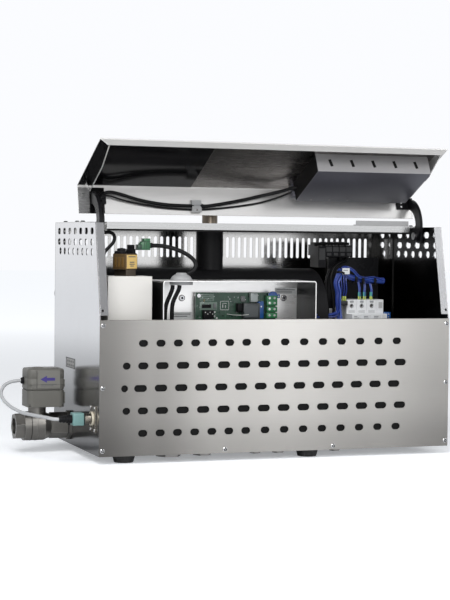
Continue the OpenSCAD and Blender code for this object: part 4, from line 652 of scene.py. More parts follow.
sideLabel = {"y": (146, 204), "z": (121, 137), "line": 1.5, "face": (-290.16, -290.0)}
label = Shape()
(y0, y1), (z0, z1), w, (outer, inner) = (sideLabel[key] for key in ("y", "z", "line", "face"))
label.block((-290.10, y0, z0), (-289.9, y1, z1), "labelSide")
bars = [((y0, z0), (y1, z0 + w)), ((y0, z1 - w), (y1, z1)), ((y0, z0), (y0 + 3 * w, z1)), ((y1 - 3 * w, z0), (y1, z1))]
bars += [((y0 + 8 + 11.5 * k, z0 + 3 + 6 * row), (y0 + 15 + 11.5 * k, z0 + 6 + 6 * row))
         for row in range(2) for k in range(4)]
for low, high in bars:
    label.block((outer, *low), (inner, *high), "labelInk")
label.piece("sideLabel", "case")

# lid: dark sheet, cheek film, box, clip
cheekPlan = {"outline": [(-0.4, 2), (9, 2), (19.5, 51), (19.5, 129), (-0.4, 137)], "thick": -0.25, "x": -276.02}
film = Shape(onSlope)
film.block((-274.3, -0.52, 3), (-101, -0.25, 147.5), "blackFilm", 0.1, 1)
film.block((-288.2, -0.52, 3), (-276.3, -0.3, 147.5), "blackFilm")
film.sheetOf(cheekPlan["outline"], cheekPlan["thick"], "blackFilm", "yz", cheekPlan["x"])
film.piece("lidFilm", "lid")
# dark sheets over the left end of the flange
flangeDarkEnd = Shape(onLid)
flangeDarkEnd.block((-288.3, 36, 353.28), (-270, 77.8, 353.5), "endGrey", 0.1, 1)
flangeDarkEnd.block((-270, 36, 353.2), (-246, 77.8, 353.5), "blackFilm", 0.1, 1)
flangeDarkEnd.piece("flangeDarkEnd", "lid")
liner = Shape(onSlope)
liner.block((-100.8, -0.45, 3), (288.2, -0.25, 146.5), "slopeSteel", 0.1, 1)
liner.piece("lidLiner", "lid")

lidBoxPlan = {"x": (68, 264), "depth": (-0.45, 31), "up": (25, 128), "slots": 5, "pitch": 37, "slot": (5, 12.5),
              "lean": -12, "rivets": (92, 124, 156, 238)}
lidBox = Shape(onSlope)
(x0, x1), (d0, d1), (u0, u1) = lidBoxPlan["x"], lidBoxPlan["depth"], lidBoxPlan["up"]
# the front face is the lighter copy of the box's steel, painted light where it is lit directly
lidBox.block((x0, d0, u0 + 0.5), (x1, d1, u1), "shadedBox", 0.7)
lidBox.block((x0, d0, u0), (x1, d1 - 0.2, u0 + 0.7), "litBoxFront", 0.3, 1)
lidBox.block((63.5, d0, u1 - 1.5), (255, 22, u1 + 9), "shadedBox", 0.6)
a, b = (s / 2 for s in lidBoxPlan["slot"])
# the slots are black patches on the front face: painted shade
for k in range(lidBoxPlan["slots"]):
    x = (x0 + x1) / 2 + (k - 2) * lidBoxPlan["pitch"]
    lidBox.block((x - a, 15.5 - b, u0 - 0.03), (x + a, 15.5 + b, u0 + 0.4), "deepBlack", turn=lidBoxPlan["lean"])
for x in lidBoxPlan["rivets"]:
    lidBox.turned([(1.7, 30.9), (1.7, 31.3), (0.9, 31.6)], (x, 0, 121), "y", "dullSteel", 12)
# the box's left end is covered by a black sheet: painted shade
lidBox.block((x0 - 0.12, d0 + 0.6, u0 + 1), (x0 + 0.1, d1 - 0.8, u1 - 1), "deepBlack")
lidBox.block((x1 - 4, d1 - 7, u0 + 8), (x1 + 2, d1 - 0.5, u0 + 26), "shadedBox", 0.4)
lidBox.piece("lidBox", "lid", ["lid_box"])

clip = Shape()
screwHead(clip, (-95, 131.9, 374.5), "y-", 2.0, 1.2, "dullSteel", "deepBlack")
band(clip, (-86, 135.5, 381), (1, 0, 0), 2.7, 3.6, 3.2, "blackMould")
clip.block((-88, 130.8, 379.3), (-84.2, 133, 383.2), "blackMould", 0.3)
clip.block((-100.5, 131.6, 380), (-89.5, 133.2, 382), "greyRubber", 0.3)
clip.piece("clipDetail", "lid")
secondCable = {"size": 3.2, "route": [
    (-256, 130, 391), (-247, 134, 394), (-236, 136, 393.5), (-222, 136.3, 389.5), (-200, 136, 384.5),
    (-175, 136, 380.3), (-150, 136, 377.2), (-120, 135.8, 375.4), (-95, 135.6, 375), (-70, 136, 376.3),
    (-40, 136.8, 379.5), (-10, 137.6, 383.5), (15, 138, 388), (36, 136, 394), (54, 129, 401), (69.4, 119.4, 409.8)]}
thin = Shape()
thin.tube(secondCable["route"], secondCable["size"] / 2, "blackCable", sides=12, steps=5)
band(thin, (-250, 133.5, 397.2), (0.8, 0.5, 0.3), 2.9, 3.8, 3, "blackMould")
thin.piece("secondLidCable", "lid")
print("case and lid details made")

# feed valve: coil, header and green plug
coilPlan = {"middle": (-232, 69), "turn": 33.5, "half": 13.75, "z": (280, 304),
            "bars": ((299.6, 8.5), (291.2, 5.5), (288.2, 6.0), (285.4, 4.0)),
            "cap": [(8, 305), (8, 307.4), (6.9, 308)], "nut": (12.6, 7.1)}
coil = Shape()
(cx, cy), ch, (low, high) = coilPlan["middle"], coilPlan["half"], coilPlan["z"]
skew = {"turn": coilPlan["turn"], "pivot": (cx, cy, 0)}
coil.block((cx - ch, cy - ch, low), (cx + ch, cy + ch, high), "coilBrown", 1.4, 3, **skew)
coil.block((cx - 12, cy - ch - 0.25, 281.5), (cx + 12, cy - ch + 0.3, 302.5), "coilGold", 0.2, 1, **skew)
for z, wide in coilPlan["bars"]:
    coil.block((cx - wide, cy - ch - 0.32, z - 0.7), (cx + wide, cy - ch, z + 0.7), "labelInk", **skew)
for y in (cy - 9, cy - 2, cy + 5):
    coil.block((cx - ch - 0.2, y, 284), (cx - ch + 0.2, y + 4.5, 299), "coilAmber", 0.15, 1, **skew)
coil.block((cx - 12.5, cy - 12.5, high - 0.2), (cx + 12.5, cy + 12.5, high + 1.2), "blackMould", 0.4, 1, **skew)
coil.piece("solenoidCoil", "case", ["solenoid_coil"])

header = Shape()
nut = hexagon(*coilPlan["nut"])
for profile, sides in ((coilPlan["cap"], 32),
                       ([(nut, 308), (nut, 311.6), (5.4, 312.4), (2.6, 312.6), (2.6, 313)], 48)):
    header.turned(profile, (cx - 6, cy, 0), "z", "blackMould", sides)
for low, high, size in (((9.75, -7, 304), (16.75, 7, 311.5), 0.6), ((11, -6, 311), (15.5, 6, 318), 0.5),
                        ((-13, 5, 304.6), (2, 10.5, 308.4), 0.5)):
    header.block((cx + low[0], cy + low[1], low[2]), (cx + high[0], cy + high[1], high[2]), "blackMould", size, **skew)
header.piece("coilHeader", "case", ["coil_terminal"])

greenPlan = {"x": -213, "y": 71, "parts": (
    (0, 6.7, 7.5, 310, 318.6, "plugDark", 0.5), (4.2, 9.5, 7.3, 318, 321.6, "plugGreen", 0.4),
    (6.5, 19.8, 7.5, 310, 323.4, "plugGreen", 0.6), (9.2, 19.8, 7.3, 323, 328, "plugGreen", 0.5))}
green = Shape()
gx, gy = greenPlan["x"], greenPlan["y"]
for left, right, half, low, high, finish, size in greenPlan["parts"]:
    green.block((gx + left, gy - half, low), (gx + right, gy + half, high), finish, size)
for k in range(2):
    green.turned([(1.9, 328), (1.9, 327.2)], (gx + 14.5, gy - 3.6 + 7.2 * k, 0), "z", "solderTin", 14)
    # the wire openings are black patches: painted shade
    green.block((gx + 8.4, gy - 5.7 + 7.2 * k, 313.4), (gx + 6.2, gy - 1.6 + 7.2 * k, 317.4), "deepBlack", 0.2, 1)
for x in (9.4, 13.4, 17.2):
    green.block((gx + x, gy - 7.62, 311), (gx + x + 0.9, gy - 7.3, 322.5), "plugDark")
green.block((gx + 6.6, gy - 7.6, 322.9), (gx + 19.9, gy - 7.2, 323.6), "plugDark")
green.turned([(4.4, gx + 19.6), (4.4, gx + 22), (3.9, gx + 25.2)], (0, gy, 317.2), "x", "blackMould", 20)
green.piece("terminalPlug", "case", ["terminal_plug"])

# enclosure: a dark sheet on the right inner wall as painted dark reflection, labels, bolts with painted shade
enclosurePlan = {"labels": (((-148, 201.8), (-114.4, 213)), ((25.5, 241.2), (62.6, 251.4))),
                 "bolts": ((-132, 235), (40, 235)), "bolt": (6.8, 3.8)}
panelParts = Shape()
# a dark sheet over the right inner wall: painted dark reflection
panelParts.block((63.1, 16, 112), (63.45, 93.3, 262), "paintedDarkWall")
for (left, low), (right, high) in enclosurePlan["labels"]:
    panelParts.block((left, 93.1, low), (right, 93.55, high), "labelPale", 0.1, 1)
    for k in range(2):
        panelParts.block((left + 2.5, 93.0, high - 4 - 3.4 * k), (right - 3 - 5 * k, 93.2, high - 2.8 - 3.4 * k),
                         "labelInk")
boltHead = hexagon(*enclosurePlan["bolt"])
for x, z in enclosurePlan["bolts"]:
    # the last ring is the bolt's socket, a black disc of painted shade
    for profile, finish, sides in (([(5.2, 93.5), (5.2, 92.6), (4.8, 92.4)], "dullSteel", 24),
                                   ([(boltHead, 92.5), (boltHead, 90.9), (3.0, 90.4)], "brightSteel", 36),
                                   ([(1.9, 90.5), (1.9, 90.3)], "deepBlack", 16)):
        panelParts.turned(profile, (x, 0, z), "y", finish, sides)
    # a black block beside each bolt paints its shadow on the wall
    panelParts.block((x + 1.5, 90.6, z - 2.4), (x + 4.6, 92.6, z + 2.8), "deepBlack", 0.3)
panelParts.piece("enclosureDetail", "case")
print("enclosure details made")

# circuit board: copper runs, joints and small parts at random, then the parts that show
boardPlan = {
    "face": 83.9, "seed": 7, "runs": (46, (-109, 18), (147, 240)), "joints": (90, (-110, 21), (146, 242)),
    "chips": (34, (-108, 14), (147, 238)), "across": (8, 34), "upward": (6, 22), "edges": (21, 242), "runWide": 0.45,
    "frame": (((-71, 216.2), (-56, 217)), ((-71, 229.7), (-56, 230.5)), ((-71, 216.2), (-70.2, 230.5)),
              ((-56.8, 216.2), (-56, 230.5)), ((-67, 219.5), (-66, 227)), ((-67, 226.2), (-60, 227)),
              ((-62.5, 219.5), (-61.5, 224))),
    "lead": ((-60, 1.5, 210), (-52, 5, 208.8), (-44, 11.5, 208.4), (-38, 14.4, 208.5), (-28, 14.8, 209.6)),
    "disc": {"x": 15.5, "z": 238.3, "radius": 7.9},
    "relays": ((-100, 150, 30, 26, 26), (-62, 150, 19, 20, 16), (-38, 150, 19, 20, 16)),
}
board = Shape()
face = boardPlan["face"]


def chip(x, z, wide, high, deep, finish, round=0.4):
    board.block((x, face - deep, z), (x + wide, face + 0.05, z + high), finish, min(round, deep / 3), 2)


def dot(x, z, profile, finish, sides):
    # turned on the board: radius, and how far it stands off the face
    board.turned([(r, face - h) for r, h in profile], (x, 0, z), "y", finish, sides)


def mark(low, high, near, far, finish, *rounding):
    # flat in the board's plane, from one distance off the face to another
    board.block((low[0], face - far, low[1]), (high[0], face - near, high[1]), finish, *rounding)


def places(count, xs, zs):
    # places at random on the board, drawn one at a time
    for _ in range(count):
        yield chance.uniform(*xs), chance.uniform(*zs)


chance = random.Random(boardPlan["seed"])
wide, (right, upper) = boardPlan["runWide"], boardPlan["edges"]
for x, z in places(*boardPlan["runs"]):
    if chance.random() < 0.5:
        end = min(x + chance.uniform(*boardPlan["across"]), right), z + wide
    else:
        end = x + wide, min(z + chance.uniform(*boardPlan["upward"]), upper)
    mark((x, z), end, 0, 0.12, "boardTrace")
for x, z in places(*boardPlan["joints"]):
    dot(x, z, [(0.55, 0), (0.5, 0.25)], "solderTin", 8)
for x, z in places(*boardPlan["chips"]):
    wide, high = (1.6, 3.2) if chance.random() < 0.5 else (3.2, 1.6)
    chip(x, z, wide, high, 0.9, chance.choice(["partTan", "blackMould", "blackMould", "partGrey"]), 0.15)
chip(-105, 230.5, 23.5, 11, 0.15, "boardPale", 0.02)
for k in range(3):
    mark((-103.5, 232 + 3.1 * k), (-84 - 3 * k, 233.1 + 3.1 * k), 0, 0.22, "boardGreen")
chip(-105, 216.3, 29, 12.6, 0.15, "boardPale", 0.02)
chip(-101.5, 219.5, 15, 5.6, 1.8, "blackMould")
chip(-82.5, 218.5, 4.5, 8, 1.2, "partGrey")
for low, high in boardPlan["frame"]:
    mark(low, high, 0, 0.12, "silkWhite")
chip(-101, 202, 17, 14.2, 9, "blackMould", 0.8)
for k in range(4):
    dot(-98.5 + 4 * k, 213 - 2.6 * (k % 2), [(0.9, 8.9), (0.9, 9.15)], "silkWhite", 10)
for x, z in ((-80, 213), (-80, 206.5), (-76.5, 203.5)):
    dot(x, z, [(1.5, 0), (1.5, 0.5)], "silkWhite", 12)
chip(-45, 213, 8.2, 13.4, 11, "blackMould", 0.6)
chip(-36, 203.2, 27.5, 24.2, 14, "partSlate", 0.8)
mark((-34, 206), (-12, 224), 13.9, 14.1, "partSlateTop", 0.05, 1)
chip(-10.4, 203.2, 8.6, 27, 12.4, "partBlue", 0.6)
dot(-6, 222, [(1.2, 12.3), (1.2, 12.6)], "solderTin", 12)
chip(-22.5, 229, 12, 14, 8.6, "partClear", 0.8)
chip(-37, 229.5, 7, 8.5, 3, "partGrey")
board.tube([(x, face - off, z) for x, off, z in boardPlan["lead"]], 0.55, "silkWhite", sides=8)
for k in range(4):
    z = 203.5 + 9.8 * k - (2 if k == 3 else 0)
    chip(4.6, z, 17.8, 8.4, 9.8, "boardTerminal", 0.5)
    for n, finish in enumerate(("solderTin", "silkWhite")):
        dot(9.2 + 8.4 * n, z + 4.4, [(1.9, 9.6), (1.9, 9.95)], finish, 14)
x, z, r = (boardPlan["disc"][key] for key in ("x", "z", "radius"))
dot(x, z, [(r - 0.9, 4.2), (r, 5), (r, 7.6), (r - 1, 8.6)], "discBlue", 32)
mark((x + 4, z - 3), (x + 12.3, z + 3), 5.2, 8.3, "discBlue", 1.2, 3)
dot(x + 9.3, z - 0.3, [(1.5, 8.25), (1.5, 8.45)], "silkWhite", 14)
for leg in (x - 2.4, x + 2.4):
    board.tube([(leg, face - off, z - drop) for off, drop in ((4.6, 6), (3, 9), (0, 9.5))], 0.4, "solderTin", sides=8)
for x, z, wide, high, deep in boardPlan["relays"]:
    chip(x, z, wide, high, deep, "blackMould", 1.0)
    mark((x + 2, z + 3), (x + wide - 2, z + high - 3), deep - 0.1, deep + 0.15, "labelGrey", 0.05, 1)
chip(-14, 150, 27, 12, 13, "boardTerminal", 0.6)
for k in range(5):
    dot(-11 + 5.2 * k, 156, [(1.8, 12.8), (1.8, 13.1)], "solderTin", 14)
chip(-60, 182, 14, 14, 2.4, "blackMould", 0.3)
for k in range(7):
    for side in (-61.4, -46):
        mark((side, 183 + 1.8 * k), (side + 1.4, 183.7 + 1.8 * k), 0.2, 0.8, "solderTin")
dot(7, 188, [(6.8, 0), (6.8, 11), (6.2, 12)], "partBlue", 28)
dot(7, 188, [(5.6, 11.9), (5.6, 12.2)], "solderTin", 24)
chip(-111, 186, 5.6, 13, 7, "boardTerminal", 0.4)
board.piece("boardParts", "case", ["board_parts"])
print("board made")

# breaker and relays
breakerPlan = {
    "x": 162, "pitch": 18, "poles": 3, "top": 220.8, "foot": 153.5,
    "sides": (((219.4, 117.6, 217), (226.2, 118.02, 227), "labelGrey", 0.1, 1),
              ((218.2, 102.7, 190), (226, 103.02, 206), "labelPale", 0.1, 1),
              ((219.6, 102.5, 171), (224.6, 103.02, 180), "blackMould", 0.3),
              ((228.0, 104.5, 200.5), (235.2, 117, 210.5), "partBlue", 0.5),
              ((228.0, 106.5, 186), (232.4, 117.6, 200.2), "breakerPale", 0.5)),
}
breaker = Shape()
for k in range(breakerPlan["poles"]):
    x = breakerPlan["x"] + breakerPlan["pitch"] * k
    middle = x + 8.85
    breaker.turned([(3.1, 123.9), (3.1, 122.6), (2.6, 122.3)], (middle, 0, breakerPlan["top"]), "y", "dullSteel", 18)
    # the screw's slot is black: painted shade
    breaker.block((middle - 2.3, 122.1, 220.3), (middle + 2.3, 122.5, 221.3), "deepBlack")
    breaker.turned([(3.6, 118), (3.6, 117.75), (3.1, 117.7)], (middle, 0, breakerPlan["top"]), "y", "breakerShade", 22,
                   (False, False))
    # a black disc at the foot terminal: painted shade in its opening
    breaker.turned([(3.2, 117.98), (3.2, 117.8)], (middle, 0, breakerPlan["foot"]), "y", "deepBlack", 18)
    faces = [(2.2, 15.6, 94.72, 95.02, 198.6, 206.6, "labelPale", 0.1, 1),
             (3.2, 9.0 + k, 94.6, 94.8, 203.8, 204.7, "labelInk"),
             (3.2, 12.0 - k, 94.6, 94.8, 201.6, 202.3, "labelInk"),
             (0.9, 17, 94.75, 95.02, 197.95, 198.4, "tealMould"),
             (2.2, 15.6, 94.75, 95.02, 168.2, 174.6, "breakerShade", 0.1, 1),
             (5.6, 12.2, 117.6, 118.02, 226, 229.5, "breakerShade", 0.15, 1)]
    faces += [(3.2, 14.6, 117.85, 118.02, 209.5 + 1.5 * n, 210.1 + 1.5 * n, "breakerShade") for n in range(3)]
    for left, right, front, back, low, high, finish, *rounding in faces:
        breaker.block((x + left, front, low), (x + right, back, high), finish, *rounding)
for side in breakerPlan["sides"]:
    breaker.block(*side)
for z in (203, 207.6):
    breaker.turned([(1.4, 104.5), (1.4, 104.2)], (231.6, 0, z), "y", "solderTin", 12)
breaker.piece("breakerDetail", "case")

relayPlan = {"x": 138.5, "pitch": 12.05, "count": 4, "wide": 11.75, "front": 153, "top": 318.6}
relays = Shape()
y, top, wide = relayPlan["front"], relayPlan["top"], relayPlan["wide"]
for k in range(relayPlan["count"]):
    x = relayPlan["x"] + relayPlan["pitch"] * k
    for inset, front, back, low, high, finish, *rounding in (
            (0.8, y - 0.25, y + 0.1, 309.6, 317.6, "greyMould", 0.1, 1),
            (2.2, y - 0.45, y + 0.1, 303, 307.6, "greyMould", 0.3, 1),
            (1.2, y + 1.4, y + 7.4, top - 0.05, top + 1.7, "greyMould", 0.4),
            (1.8, y + 9.5, y + 15.8, top - 0.05, top + 0.8, "blackMould", 0.3)):
        relays.block((x + inset, front, low), (x + wide - inset, back, high), finish, *rounding)
    for left in (x, x + 5.4):
        relays.turned([(1.8, 0), (1.8, 0.35), (1.5, 0.5)], (left + 3.2, y + 4.4, top + 1.6), "z", "dullSteel", 14)
        # the screw's slot is black: painted shade
        relays.block((left + 1.7, y + 4.15, top + 1.95), (left + 4.7, y + 4.65, top + 2.15), "deepBlack")
    relays.block((x + 2.4, 174.6, 324.9), (x + wide - 2.4, 184.6, 326), "greyMould", 0.3)
relays.block((126.4, 152.2, 296), (137, 152.6, 315), "greyMould", 0.1, 1)
for k in range(3):
    relays.turned([(1.9, 0), (1.9, 0.5)], (131.4, 156.5 + 5.6 * k, 318.6), "z", "dullSteel", 14)
relays.piece("relayDetail", "case")
print("breaker and relays made")

# fixed cables, blue loom and ties
cableRuns = {
    "grommet": [[(-160, 53, 256.5), (-160.5, 53, 250), (-164, 54.5, 240), (-168, 57.5, 228), (-169.5, 60, 215),
                 (-169, 62, 195), (-167, 67, 178), (-163, 72, 163), (-158, 76, 150)],
                [(-151, 46, 256.5), (-152, 46, 250), (-156, 47.5, 241), (-160, 50, 230), (-161, 52, 218),
                 (-160, 54, 198), (-155, 60, 180), (-149, 68, 164), (-144, 76, 150)]],
    "relay": [[(182, 166, 300.5), (182, 165.5, 296.5), (177, 161, 293.5), (168, 157, 292), (160, 155, 288.5),
               (153, 154, 281), (149, 153, 270), (148, 152, 258), (150, 151, 241), (152, 150, 222), (152, 150, 200),
               (151, 150, 150), (151, 148, 100), (150, 142, 55), (150, 130, 30), (150, 128, 14)],
              [(170, 168, 300.5), (170, 168, 296), (165, 164.5, 290.5), (157, 161.5, 285.5), (149.5, 160, 278),
               (144, 159, 268), (141.5, 158.5, 256), (142.5, 158, 240), (144, 158, 222), (144, 158, 200),
               (144, 158, 150), (144, 156, 100), (142, 146, 55), (140, 130, 30), (140, 128, 14)]],
    "down": [(150, 118, 276), (145, 115, 268), (141, 113, 258), (144, 112, 243), (144, 112, 230), (145, 112, 215),
             (146, 110, 200), (147, 104, 180), (148, 98, 140), (148, 96, 100), (148, 96, 60), (148, 96, 30),
             (148, 96, 14)],
    "across": [(150, 127, 278), (156, 127, 275.5), (170.5, 126, 268), (184, 126, 265), (198, 126, 263.3),
               (216, 126, 262.5), (232, 126, 262)],
    "drops": [[(184, 124, 262), (186, 122, 252), (186, 121, 242), (186, 122, 231.3)],
              [(196, 124, 262), (196, 122, 252), (195, 121, 242), (195, 122, 231.3)],
              [(206, 128, 262), (208, 124, 252), (208, 121, 242), (207, 122, 231.3)]],
    "branch": [(146, 112, 216), (141, 108.5, 209), (132, 108, 205.8), (118, 107, 205), (104, 102, 205), (90, 92, 205),
               (78, 86, 205), (65.3, 84, 205)],
    "rise": [(152, 118, 282), (160, 118, 284), (173, 119, 279), (184, 120, 269), (197, 121, 266), (211, 121, 267),
             (226, 122, 263)],
}
cables = Shape()
for kind, size, sides, steps in (("grommet", 3.25, 18, 6), ("relay", 2.5, 16, 5)):
    for run in cableRuns[kind]:
        cables.tube(run, size, "blackCable", sides, steps)
# the terminal blocks at the lower ends, with their screws and clamps
cables.block((-168, 70, 138), (-134, 93.5, 149), "blackMould", 0.8)
for k in range(4):
    x = -163.5 + 8.3 * k
    cables.block((x - 3.2, 69.4, 141), (x + 3.2, 70.4, 148), "greyMould", 0.3)
    cables.turned([(1.9, 69.5), (1.9, 69.0), (1.6, 68.9)], (x, 0, 144.4), "y", "dullSteel", 14)
cables.block((132, 84, 1.5), (164, 138, 13.6), "blackMould", 0.8)
for k in range(5):
    y = 90 + 10.4 * k
    cables.block((134, y - 4, 13.3), (162, y + 4, 14.6), "greyMould", 0.3)
cables.piece("caseCables", "case", ["black_cables"])

# run, reach, wires, size, twist, seed, steps
loomPlan = {
    "bundles": (("down", 4.3, 10, 1.3, 3.2, 3, 5), ("down", 1.7, 3, 1.4, 2.0, 4, 5),
                ("across", 4.3, 10, 1.3, 1.6, 5, 7), ("across", 1.7, 3, 1.4, 1.2, 6, 7),
                ("branch", 2.9, 6, 1.2, 2.2, 8, 6), ("rise", 1.9, 3, 1.15, 1.0, 9, 6)),
    "tones": ["blueWire", "blueWireLight", "blueWire", "blueWire", "blueWireLight"],
    "sleeve": [(1.3, 243.5), (1.45, 242.5), (1.45, 236), (1.3, 235.4)],
    "ferrule": [(1.5, 236.8), (1.55, 236), (1.5, 231.6), (1.1, 231)],
    "end": [(1.5, 237), (1.6, 236), (1.5, 229.6), (1.1, 229)],
}
loom = Shape()
for name, reach, count, size, twist, seed, steps in loomPlan["bundles"]:
    bundle(loom, cableRuns[name], reach, count, size, loomPlan["tones"], twist, seed, steps)
for k, run in enumerate(cableRuns["drops"]):
    bundle(loom, run, 1.15, 2, 1.05, loomPlan["tones"], twist=1.2, seed=11 + k, steps=6)
    for n in range(2):
        foot = (run[-1][0] - 1.2 + 2.4 * n, run[-1][1] - 0.9, 0)
        loom.turned(loomPlan["sleeve"], foot, "z", "ferruleTeal", 14)
        loom.turned(loomPlan["ferrule"], foot, "z", "ferruleGreen", 14)
for x in (150.5, 155, 159):
    loom.tube([(x, 116, 276), (x - 1, 113, 262), (x + 0.6, 114, 248), (x, 117.5, 236)], 1.05, "blueWire", 8, 5)
    loom.turned(loomPlan["end"], (x, 117.8, 0), "z", "ferruleGreen", 14)
loom.block((146.5, 113.4, 222), (162, 119.6, 229.2), "greyMould", 0.5)
loom.block((150.5, 111.0, 273), (163.5, 111.6, 283), "labelPale", 0.2, 1)
loom.block((152, 110.9, 279), (160, 111.05, 280.2), "labelInk")
loom.turned([(5.0, 65.1), (5.0, 66.4), (4.2, 67.4)], (0, 84, 205), "x", "blackMould", 20)
loom.piece("blueLoom", "case", ["blue_loom"])

tiePlan = ((179, 265.8, 9.6), (191.5, 263.9, 5.6), (213, 262.6, 2))
ties = Shape()
for x, z, fall in tiePlan:
    lean = math.radians(fall)
    band(ties, (x, 126, z), (math.cos(lean), 0, -math.sin(lean)), 6.5, 7.4, 3.6, "blackMould")
    ties.block((x - 2.4, 117.4, z - 1.8), (x + 2.4, 119.8, z + 2.4), "blackMould", 0.5)
    ties.block((x - 1.2, 115.8, z - 7), (x + 1.2, 116.6, z + 0.4), "blackMould", 0.2, 1)
band(ties, (150.2, 116.5, 274.5), (0.3, 0.2, 1), 6.3, 7.1, 3.2, "blackMould")
ties.piece("cableTies", "case", ["cable_ties"])
print("looms made")

# drain valve, its actuator and socket
valvePlan = {
    "arrow": [(-343, 105), (-332.6, 110.6), (-332.6, 107.3), (-319.6, 107.3), (-319.6, 102.7), (-332.6, 102.7),
              (-332.6, 99.4)],
    "gland": [(5.8, -363), (5.8, -364.4), (4.9, -365.2), (4.9, -366.8), (3.3, -367.6)],
    "rings": ((-355.2, 23.25, 1.3, "valveSeam"), (-346.2, 23.35, 2.4, "castNickel")),
}
valveBits = Shape()
for x, outer, width, finish in valvePlan["rings"]:
    band(valveBits, (x, 179, 30), (1, 0, 0), 22.6, outer, width, finish, 48)
valveBits.turned(valvePlan["gland"], (0, 189, 101), "x", "blackMould", 26)
valveBits.block((-347.5, 156.35, 91.4), (-311.5, 156.8, 118.4), "actuatorPale", 0.2, 1)
valveBits.sheetOf(valvePlan["arrow"], 0.12, "arrowViolet", "xz", 156.25)
for k in range(2):
    valveBits.block((-342, 156.28, 94.2 + 2.4 * k), (-322 + 5 * k, 156.4, 95.1 + 2.4 * k), "labelInk")
valveBits.turned([(6.6, 0), (6.6, 0.25), (6.2, 0.4)], (-343, 179, 122.75), "z", "actuatorGrey", 36)
# the slot in the boss is black: painted shade
valveBits.block((-348.6, 177.9, 122.9), (-337.4, 180.1, 123.35), "deepBlack", 0.15, 1)
for k in range(5):
    valveBits.block((-303.2, 161 + 7.6 * k, 66), (-301.9, 165.4 + 7.6 * k, 84), "actuatorGrey", 0.5)
for x, inward in ((-357, 4), (-309, -4)):
    valveBits.turned([(2.6, 60.9), (2.6, 60), (2.2, 59.6)], (x, 163.6, 0), "z", "dullSteel", 16)
    valveBits.turned([(2.3, 121.0), (2.3, 121.5), (1.9, 121.8)], (x + inward, 166.6, 0), "z", "dullSteel", 16)
valveBits.piece("valveDetail", "case")

coverPlan = {
    "middle": (-333, 181),
    "body": ((60, 49), 9, [(87.2, 1.5), (88.6, 1.4), (89.0, 0.2), (90.4, 0), (104.5, 0.15), (105.1, 0.5), (105.9, 0.5),
                           (106.5, 0.15), (117.6, 0.2), (119.9, 0.9), (121.0, 2.4)]),
    "lid": ((47, 37), 7, [(120.7, 0.6), (121.5, 0.4), (121.9, 1.2)]),
    "seams": ((-349.2, 90.2, -348.4, 119.6), (-310.6, 90.2, -309.8, 119.6), (-362, 96.3, -304, 96.8)),
}
cover = Shape()
for part in ("body", "lid"):
    cover.stack(coverPlan["middle"], *coverPlan[part], "actuatorGrey")
cover.turned([(9, 121.5), (9, 122.6), (8.4, 123)], (-343, 179, 0), "z", "actuatorGrey", 36)
for k in range(4):
    cover.block((-303.6, 163 + 9.4 * k, 92), (-301.9, 168.6 + 9.4 * k, 104), "actuatorGrey", 0.6)
for left, low, right, high in coverPlan["seams"]:
    cover.block((left, 156.25, low), (right, 156.7, high), "actuatorSeam", 0.1, 1)
cover.block((-360.6, 157.4, 61.2), (-305.4, 204.6, 66), "actuatorSeam", 0.6)
cover.piece("actuatorCover", "case", ["actuator_cover"])

socketPlan = {"ys": (20.5, 43.5), "zs": (38.5, 71.5), "face": -292, "screw": (2.3, 1.1)}
socketBits = Shape()
band(socketBits, (-293.6, 32, 55), (1, 0, 0), 9.0, 10.6, 3.0, "creamMould", 40)
for y, z in [(y, z) for z in socketPlan["zs"] for y in socketPlan["ys"]]:
    screwHead(socketBits, (socketPlan["face"], y, z), "x-", *socketPlan["screw"], "brightSteel", "deepBlack")
band(socketBits, (-328.4, 32, 55), (1, 0, 0), 6.1, 7.0, 2.6, "blackMould")
socketBits.block((-329.9, 29.5, 46.2), (-326.9, 34.5, 49.6), "blackMould", 0.4)
socketBits.block((-329.2, 31.6, 33.5), (-327.6, 32.4, 47), "blackMould", 0.2, 1)
socketBits.piece("socketDetail", "case")
print("valve details made")

# the grommet's rubber dome, with a collar round its foot
grommetPlan = {"x": -147, "y": 50, "collar": (15.2, 17.2, 1.6), "sides": 44, "dome": [
    (16.4, 264.3), (16.2, 266.4), (14.6, 269.4), (11.4, 272.0), (8.6, 273.2), (8.4, 274.8), (6.2, 275.6), (3.2, 275.8)]}
grommetBits = Shape()
x, y, sides = (grommetPlan[key] for key in ("x", "y", "sides"))
grommetBits.turned(grommetPlan["dome"], (x, y, 0), "z", "greyRubber", sides)
band(grommetBits, (x, y, 265.3), (0, 0, 1), *grommetPlan["collar"], "greyRubber", sides)
grommetBits.piece("grommetDetail", "case")

# floor, world and lamps
studio = {
    "floor": 30.0, "floorTone": (0.86, 0.875, 0.90, 1), "glowTone": (0.95, 0.97, 1.0, 1), "glow": 0.72,
    "dim": (0.7, 4.0), "far": (0.7, 4.5), "seen": (0.45, 1.0), "skyTone": (0.96, 0.98, 1.0, 1), "sky": 0.30,
    "horizon": (0.50, (0.965, 0.975, 1.0, 1)), "zenith": (0.76, (0.09, 0.092, 0.096, 1)), "aim": (0.0, 0.0, 0.2),
    "lamps": {"keyLamp": ((-1.3, -1.9, 2.3), 1.6, 66), "fillLamp": ((2.2, -1.6, 1.3), 1.4, 18),
              "bayLamp": ((-0.35, -2.4, 0.85), 0.9, 16)},
}


def seenRays(tree):
    # the camera's ray alone, and with what shows in metal and glass
    path = node(tree, "LightPath").outputs
    shining = maths(tree, "MAXIMUM", path["Is Camera Ray"], path["Is Glossy Ray"])
    return path["Is Camera Ray"], maths(tree, "MAXIMUM", shining, path["Is Transmission Ray"])


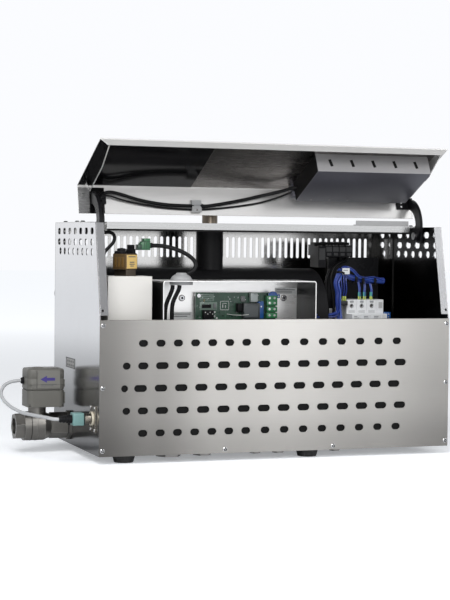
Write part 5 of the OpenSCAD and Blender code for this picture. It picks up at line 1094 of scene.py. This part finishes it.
def makeFloor():
    bm = bmesh.new()
    bmesh.ops.create_grid(bm, x_segments=1, y_segments=1, size=studio["floor"] / 2)
    mesh = bpy.data.meshes.new("studioFloor")
    bm.to_mesh(mesh)
    bm.free()
    floor = show("studioFloor", mesh)
    floor.location.z = cadBox[0][2] - 0.0005
    material = bpy.data.materials.new("paleFloor")
    tree = clearTree(material)
    diffuse = node(tree, "BsdfDiffuse", Color=studio["floorTone"]).outputs[0]
    camera, seen = seenRays(tree)
    # reflections near the object see a dimmer floor than the camera does
    spot = node(tree, "NewGeometry").outputs["Position"]
    reach = node(tree, "VectorMath", spot, operation="LENGTH").outputs["Value"]
    near = mapped(tree, reach, *studio["dim"], interpolation_type="SMOOTHSTEP")
    far = mapped(tree, reach, *studio["far"], *studio["seen"], interpolation_type="SMOOTHSTEP")
    lifted = maths(tree, "MAXIMUM", maths(tree, "MULTIPLY", camera, far), near)
    strength = maths(tree, "MULTIPLY", maths(tree, "MULTIPLY", seen, lifted), studio["glow"])
    glow = node(tree, "Emission", Color=studio["glowTone"], Strength=strength).outputs[0]
    node(tree, "OutputMaterial", node(tree, "AddShader", diffuse, glow).outputs[0])
    mesh.materials.append(material)


def makeWorld():
    world = bpy.data.worlds.new("studioWorld")
    bpy.context.scene.world = world
    tree = clearTree(world)
    parts = node(tree, "SeparateXYZ", node(tree, "TexCoord").outputs["Generated"]).outputs
    ramp = node(tree, "ValToRGB", parts["Z"])
    for element, stop in zip(ramp.color_ramp.elements, (studio["horizon"], studio["zenith"])):
        element.position, element.color = stop
    shown = node(tree, "Background", ramp.outputs[0], 1.0).outputs[0]
    light = node(tree, "Background", studio["skyTone"], studio["sky"]).outputs[0]
    node(tree, "OutputWorld", node(tree, "MixShader", seenRays(tree)[1], light, shown).outputs[0])


def makeLamps():
    for name, (place, size, power) in studio["lamps"].items():
        data = bpy.data.lights.new(name, "AREA")
        data.size, data.energy = size, power
        lamp = show(name, data)
        lamp.location = place
        lamp.rotation_euler = (Vector(studio["aim"]) - Vector(place)).to_track_quat("-Z", "Y").to_euler()


makeFloor()
makeWorld()
makeLamps()
print("studio made")
